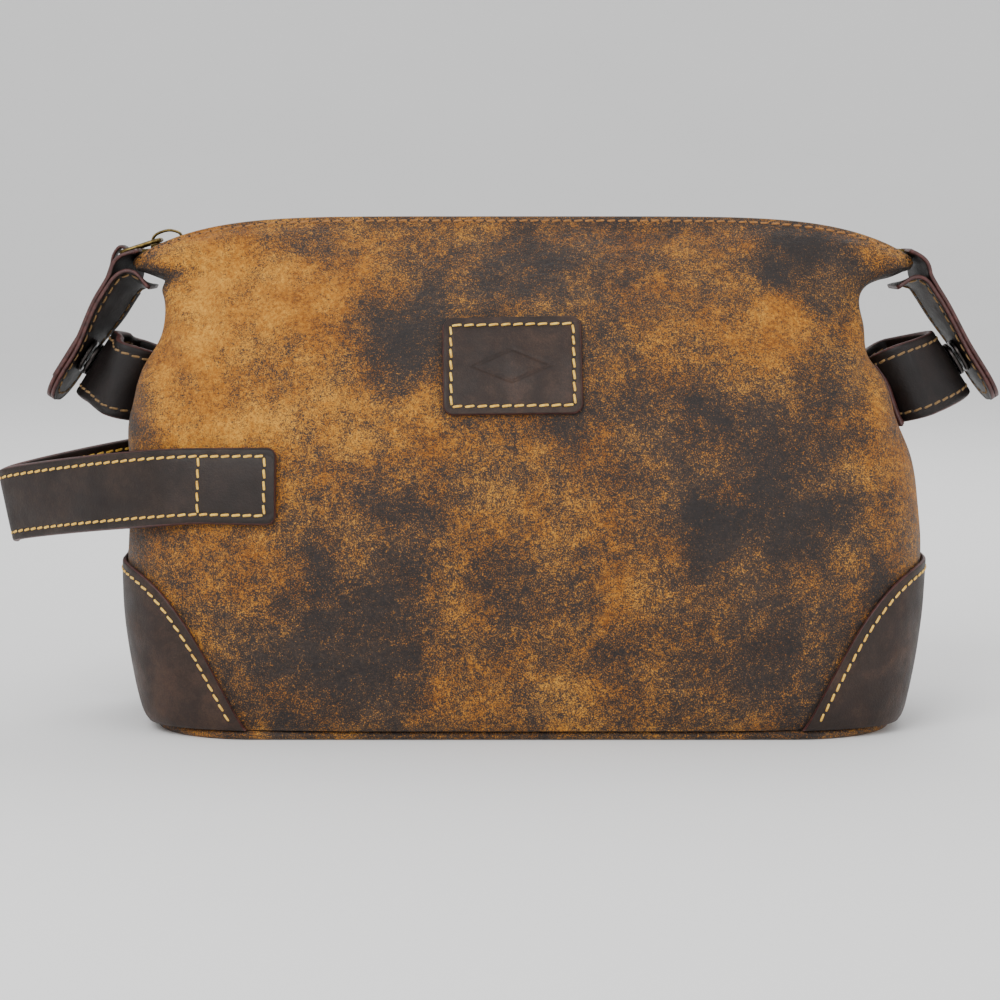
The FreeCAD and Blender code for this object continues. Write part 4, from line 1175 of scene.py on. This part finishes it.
def make_teeth(name, side):
    """One half of the zip: a row of small teeth that reach between those of the other half."""
    pitch = 2.3
    count = int(2 * CHAIN_REACH / pitch)
    middle_x = -CHAIN_REACH + pitch * (np.arange(count) + (0.25 if side > 0 else 0.75))
    reach = np.array([-0.7, -0.55, 0.0, 1.0, 2.2, 3.0, 3.2])
    half_x = np.array([0.15, 0.55, 0.66, 0.42, 0.5, 0.5, 0.3])
    half_z = np.array([0.2, 0.62, 0.9, 0.8, 0.95, 0.9, 0.4])
    angle = np.linspace(0, 2 * math.pi, 8, endpoint=False)
    round_x = np.sign(np.cos(angle)) * np.abs(np.cos(angle)) ** 0.6
    round_z = np.sign(np.sin(angle)) * np.abs(np.sin(angle)) ** 0.6
    x = middle_x[:, None, None] + half_x[None, :, None] * round_x[None, None]
    z = chain_height(middle_x)[:, None, None] + half_z[None, :, None] * round_z[None, None]
    y = np.broadcast_to(side * reach[None, :, None], x.shape)
    points = np.stack([x, y, z], axis=-1)
    each = len(reach) * 8
    one = quads(len(reach), 8, closed=True)
    faces = (one[None] + (np.arange(count) * each)[:, None, None]).reshape(-1, 4)
    faces = faces if side > 0 else faces[:, ::-1]
    teeth = add_mesh(name, points.reshape(-1, 3), faces, [COIL])
    dress(teeth, "zip_coil", "root", name.replace("teeth", "chain"))


make_teeth("zip_teeth_front", -1)
make_teeth("zip_teeth_back", 1)


WIRE_SIDES = 12


def tube(name, path, wide, high, up, material, closed=True):
    """A wire of oval section along a path. up is the direction of its height."""
    path = np.asarray(path, float)
    run = unit(np.roll(path, -1, axis=0) - np.roll(path, 1, axis=0))
    if not closed:
        run[0], run[-1] = unit(path[1] - path[0]), unit(path[-1] - path[-2])
    side = unit(np.cross(run, np.asarray(up, float)))
    over = np.cross(side, run)
    angle = np.linspace(0, 2 * math.pi, WIRE_SIDES, endpoint=False)
    ring = side[:, None] * (np.cos(angle) * wide / 2)[None, :, None]
    ring = ring + over[:, None] * (np.sin(angle) * high / 2)[None, :, None]
    grid = path[:, None] + ring
    count = len(path)
    if closed:
        grid = np.concatenate([grid, grid[:1]])
        count += 1
    faces = list(quads(count, WIRE_SIDES, closed=True))
    if not closed:
        faces += [list(range(WIRE_SIDES))[::-1], list(range((count - 1) * WIRE_SIDES, count * WIRE_SIDES))]
    return add_mesh(name, grid.reshape(-1, 3), faces, [material])


def make_slider():
    """The slider: two tapered plates, and the bail over the upper plate."""
    along, wide = outline(12.0, 4.3, 1.6, 2.4, 0.6)
    taper = 1 - 0.16 * soft_step(3, 11, along)
    share = spread(2.0, 0.14, 0.06) - 1
    x = np.broadcast_to(along[:, None] - 6.0, (len(along), len(share)))
    y = (wide * taper)[:, None] * share[None]
    for name, low, high in (("zip_slider_top", 0.75, 2.5), ("zip_slider_under", -2.5, -0.75)):
        top = on_slider(np.stack([x, y, np.full(x.shape, high)], axis=-1))
        base = on_slider(np.stack([x, y, np.full(x.shape, low)], axis=-1))
        plate = slab(name, top, base, [BRASS, BRASS, BRASS], 0.14, 0)
        dress(plate, "antique_brass", "zip_slider", "zip_slider_body")
    arch = [(-5.2, 2.4), (-5.1, 4.4), (-3.2, 5.9), (0.8, 6.5), (4.0, 5.4), (5.0, 3.9), (5.0, 2.4)]
    line = smooth_path(arch, 0.4)[0]
    path = on_slider(np.column_stack([line[:, 0], np.zeros(len(line)), line[:, 1]]))
    bail = tube("zip_slider_bail", path, 1.05, 3.0, (0, 1, 0), BRASS, closed=False)
    dress(bail, "antique_brass", "zip_slider", "zip_slider_bail")


RING_PIVOT = np.array([-128.082, 0, 168.335])
RING_SLOPE = math.radians(18)
RING_REACH = 14.2
RING_HALF = 5.25


def make_ring():
    """The flat oval ring in the bail."""
    run = np.array([-math.cos(RING_SLOPE), 0, -math.sin(RING_SLOPE)])
    side = np.array([0, 1.0, 0])
    corner = 2.4
    quarter = np.linspace(0, math.pi / 2, 9)
    centres = [(RING_REACH - corner, RING_HALF - corner), (corner, RING_HALF - corner)]
    centres += [(corner, corner - RING_HALF), (RING_REACH - corner, corner - RING_HALF)]
    path = []
    for k, (centre_run, centre_side) in enumerate(centres):
        for angle in quarter + k * math.pi / 2:
            at = (centre_run + corner * math.cos(angle), centre_side + corner * math.sin(angle))
            path.append(RING_PIVOT + run * at[0] + side * at[1])
    up = np.cross(run, side)
    ring = tube("pull_ring", np.array(path), 1.5, 1.5, up, BRASS)
    dress(ring, "antique_brass", "pull_ring", "pull_ring")


LOOP_MIDDLE = np.array([-141.587, 163.947])
PULLER_SAG = 3.3


def make_puller():
    """The leather puller: one thin strip folded round the ring and sewn to itself."""
    down = np.array([-math.cos(TAB_SLOPE), -math.sin(TAB_SLOPE)])
    side = np.array([-math.sin(TAB_SLOPE), math.cos(TAB_SLOPE)])

    def on_axis(along, out):
        """A place beside the strip's middle, which sags from the loop until it lies on the tab."""
        return LOOP_MIDDLE + down * along + side * (out - PULLER_SAG * soft_step(2, 24, along))

    # How far the two halves stand apart from the middle, at distances from the ring.
    beside = ((2.2, 1.75), (6, 0.75), *((along, 0.62) for along in (12, 20, 30, 40)))
    over = [on_axis(along, out) for along, out in ((50, 0.62), *beside[::-1])]
    loop = [LOOP_MIDDLE - down * 2.0 * math.cos(t) + side * 2.0 * math.sin(t) for t in (0.9, 0.0, -0.9)]
    under = [on_axis(along, -out) for along, out in (*beside, (48.5, 0.62))]
    strip = Strip(over + loop + under)
    along, wide = outline(strip.length, 4.0, 1.6, 1.6, 0.8)
    share = spread(2.0, 0.12, 0.07) - 1
    grid_along, across = np.broadcast_arrays(along[:, None], wide[:, None] * share[None])
    one, _ = strip.at(grid_along, across, 0.6)
    other, _ = strip.at(grid_along, across, -0.6)
    # The puller is made in the painted-shade leather.
    piece = slab("leather_puller", one, other, [SHADED_LEATHER, EDGE, SHADED_LEATHER], 0.1)
    dress(piece, "dark_leather", "leather_puller", "leather_puller")
    # The puller's stitches use the painted-shade thread.
    seam = Seam(SHADED_THREAD)
    run = np.linspace(3, 41, 40)
    for offset in (-2.4, 2.4):
        for place in (run, strip.length - run + 1.5):
            points, normals = strip.at(place, np.full(len(run), offset), -0.55)
            seam.row(points, -normals, 3.2, 0.8)
    dress(seam.build("leather_puller_stitches"), "dark_leather", "leather_puller")


make_slider()
make_ring()
make_puller()

CAD_FINISH = {
    "zip_tape_front": (TAPE, "zip_tape"),
    "zip_tape_back": (TAPE, "zip_tape"),
    "zip_stop_left": (BRASS, "antique_brass"),
    "zip_stop_right": (BRASS, "antique_brass"),
    "front_lining": (LINING, "lining_fabric"),
    "back_lining": (LINING, "lining_fabric"),
    "bottom_lining": (LINING, "lining_fabric"),
    "base_board": (BOARD, "stiff_board"),
    "left_tab_snap_washer": (SNAP, "snap_metal"),
    "right_tab_snap_washer": (SNAP, "snap_metal"),
}
for node, (material, slot_name) in CAD_FINISH.items():
    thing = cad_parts[node]
    thing.data.materials.clear()
    thing.data.materials.append(material)

# ---------------------------------------------------------------- floor, light and camera

def add_light(name, place, target, wide, power):
    """A soft square lamp aimed at a target."""
    lamp = bpy.data.lights.new(name, "AREA")
    lamp.size = wide
    lamp.energy = power
    holder = bpy.data.objects.new(name, lamp)
    bpy.context.collection.objects.link(holder)
    direction = np.array(target) - np.array(place)
    flat = math.hypot(direction[0], direction[1])
    holder.location = place
    heading = math.atan2(direction[1], direction[0]) - math.pi / 2
    holder.rotation_euler = (math.atan2(flat, -direction[2]), 0, heading)


def make_studio():
    """A pale floor that curves up into a wall far off, an even pale sky, and three soft lamps."""
    profile = [(6000, 3200), (5990, 2600), (5850, 1700), (5400, 900), (4700, 350), (3900, 60)]
    profile += [(3200, -0.02), (1, -0.02)]
    pale = plain_shade("studio_floor", (0.93, 0.93, 0.93, 1), (0.95, 0.95, 0.95, 1), 2, 0.8, 0.0)
    floor = lathe("studio_floor", (0, 0, 0), (1, 0, 0), (0, 0, 1), profile, pale, 96, False)
    world = bpy.data.worlds.new("studio_sky")
    world.use_nodes = True
    sky = world.node_tree.nodes["Background"]
    sky.inputs["Color"].default_value = (1, 1, 1, 1)
    sky.inputs["Strength"].default_value = 0.95
    bpy.context.scene.world = world
    middle = (0, 0, 0.09)
    add_light("key", (-0.55, -1.15, 1.05), middle, 0.8, 14)
    add_light("fill", (1.9, -1.8, 0.9), middle, 1.5, 16)
    add_light("rim", (0.2, 0.9, 1.1), middle, 0.8, 6)


def make_camera():
    """A long lens a little above the bag, straight in front."""
    camera = bpy.data.cameras.new("camera")
    camera.sensor_width = 36.0
    camera.lens = 96.4
    holder = bpy.data.objects.new("camera", camera)
    bpy.context.collection.objects.link(holder)
    holder.location = (-0.0082, -0.950, 0.170)
    holder.rotation_euler = (math.radians(90 - 5.65), 0, 0)
    bpy.context.scene.camera = holder


make_studio()
make_camera()

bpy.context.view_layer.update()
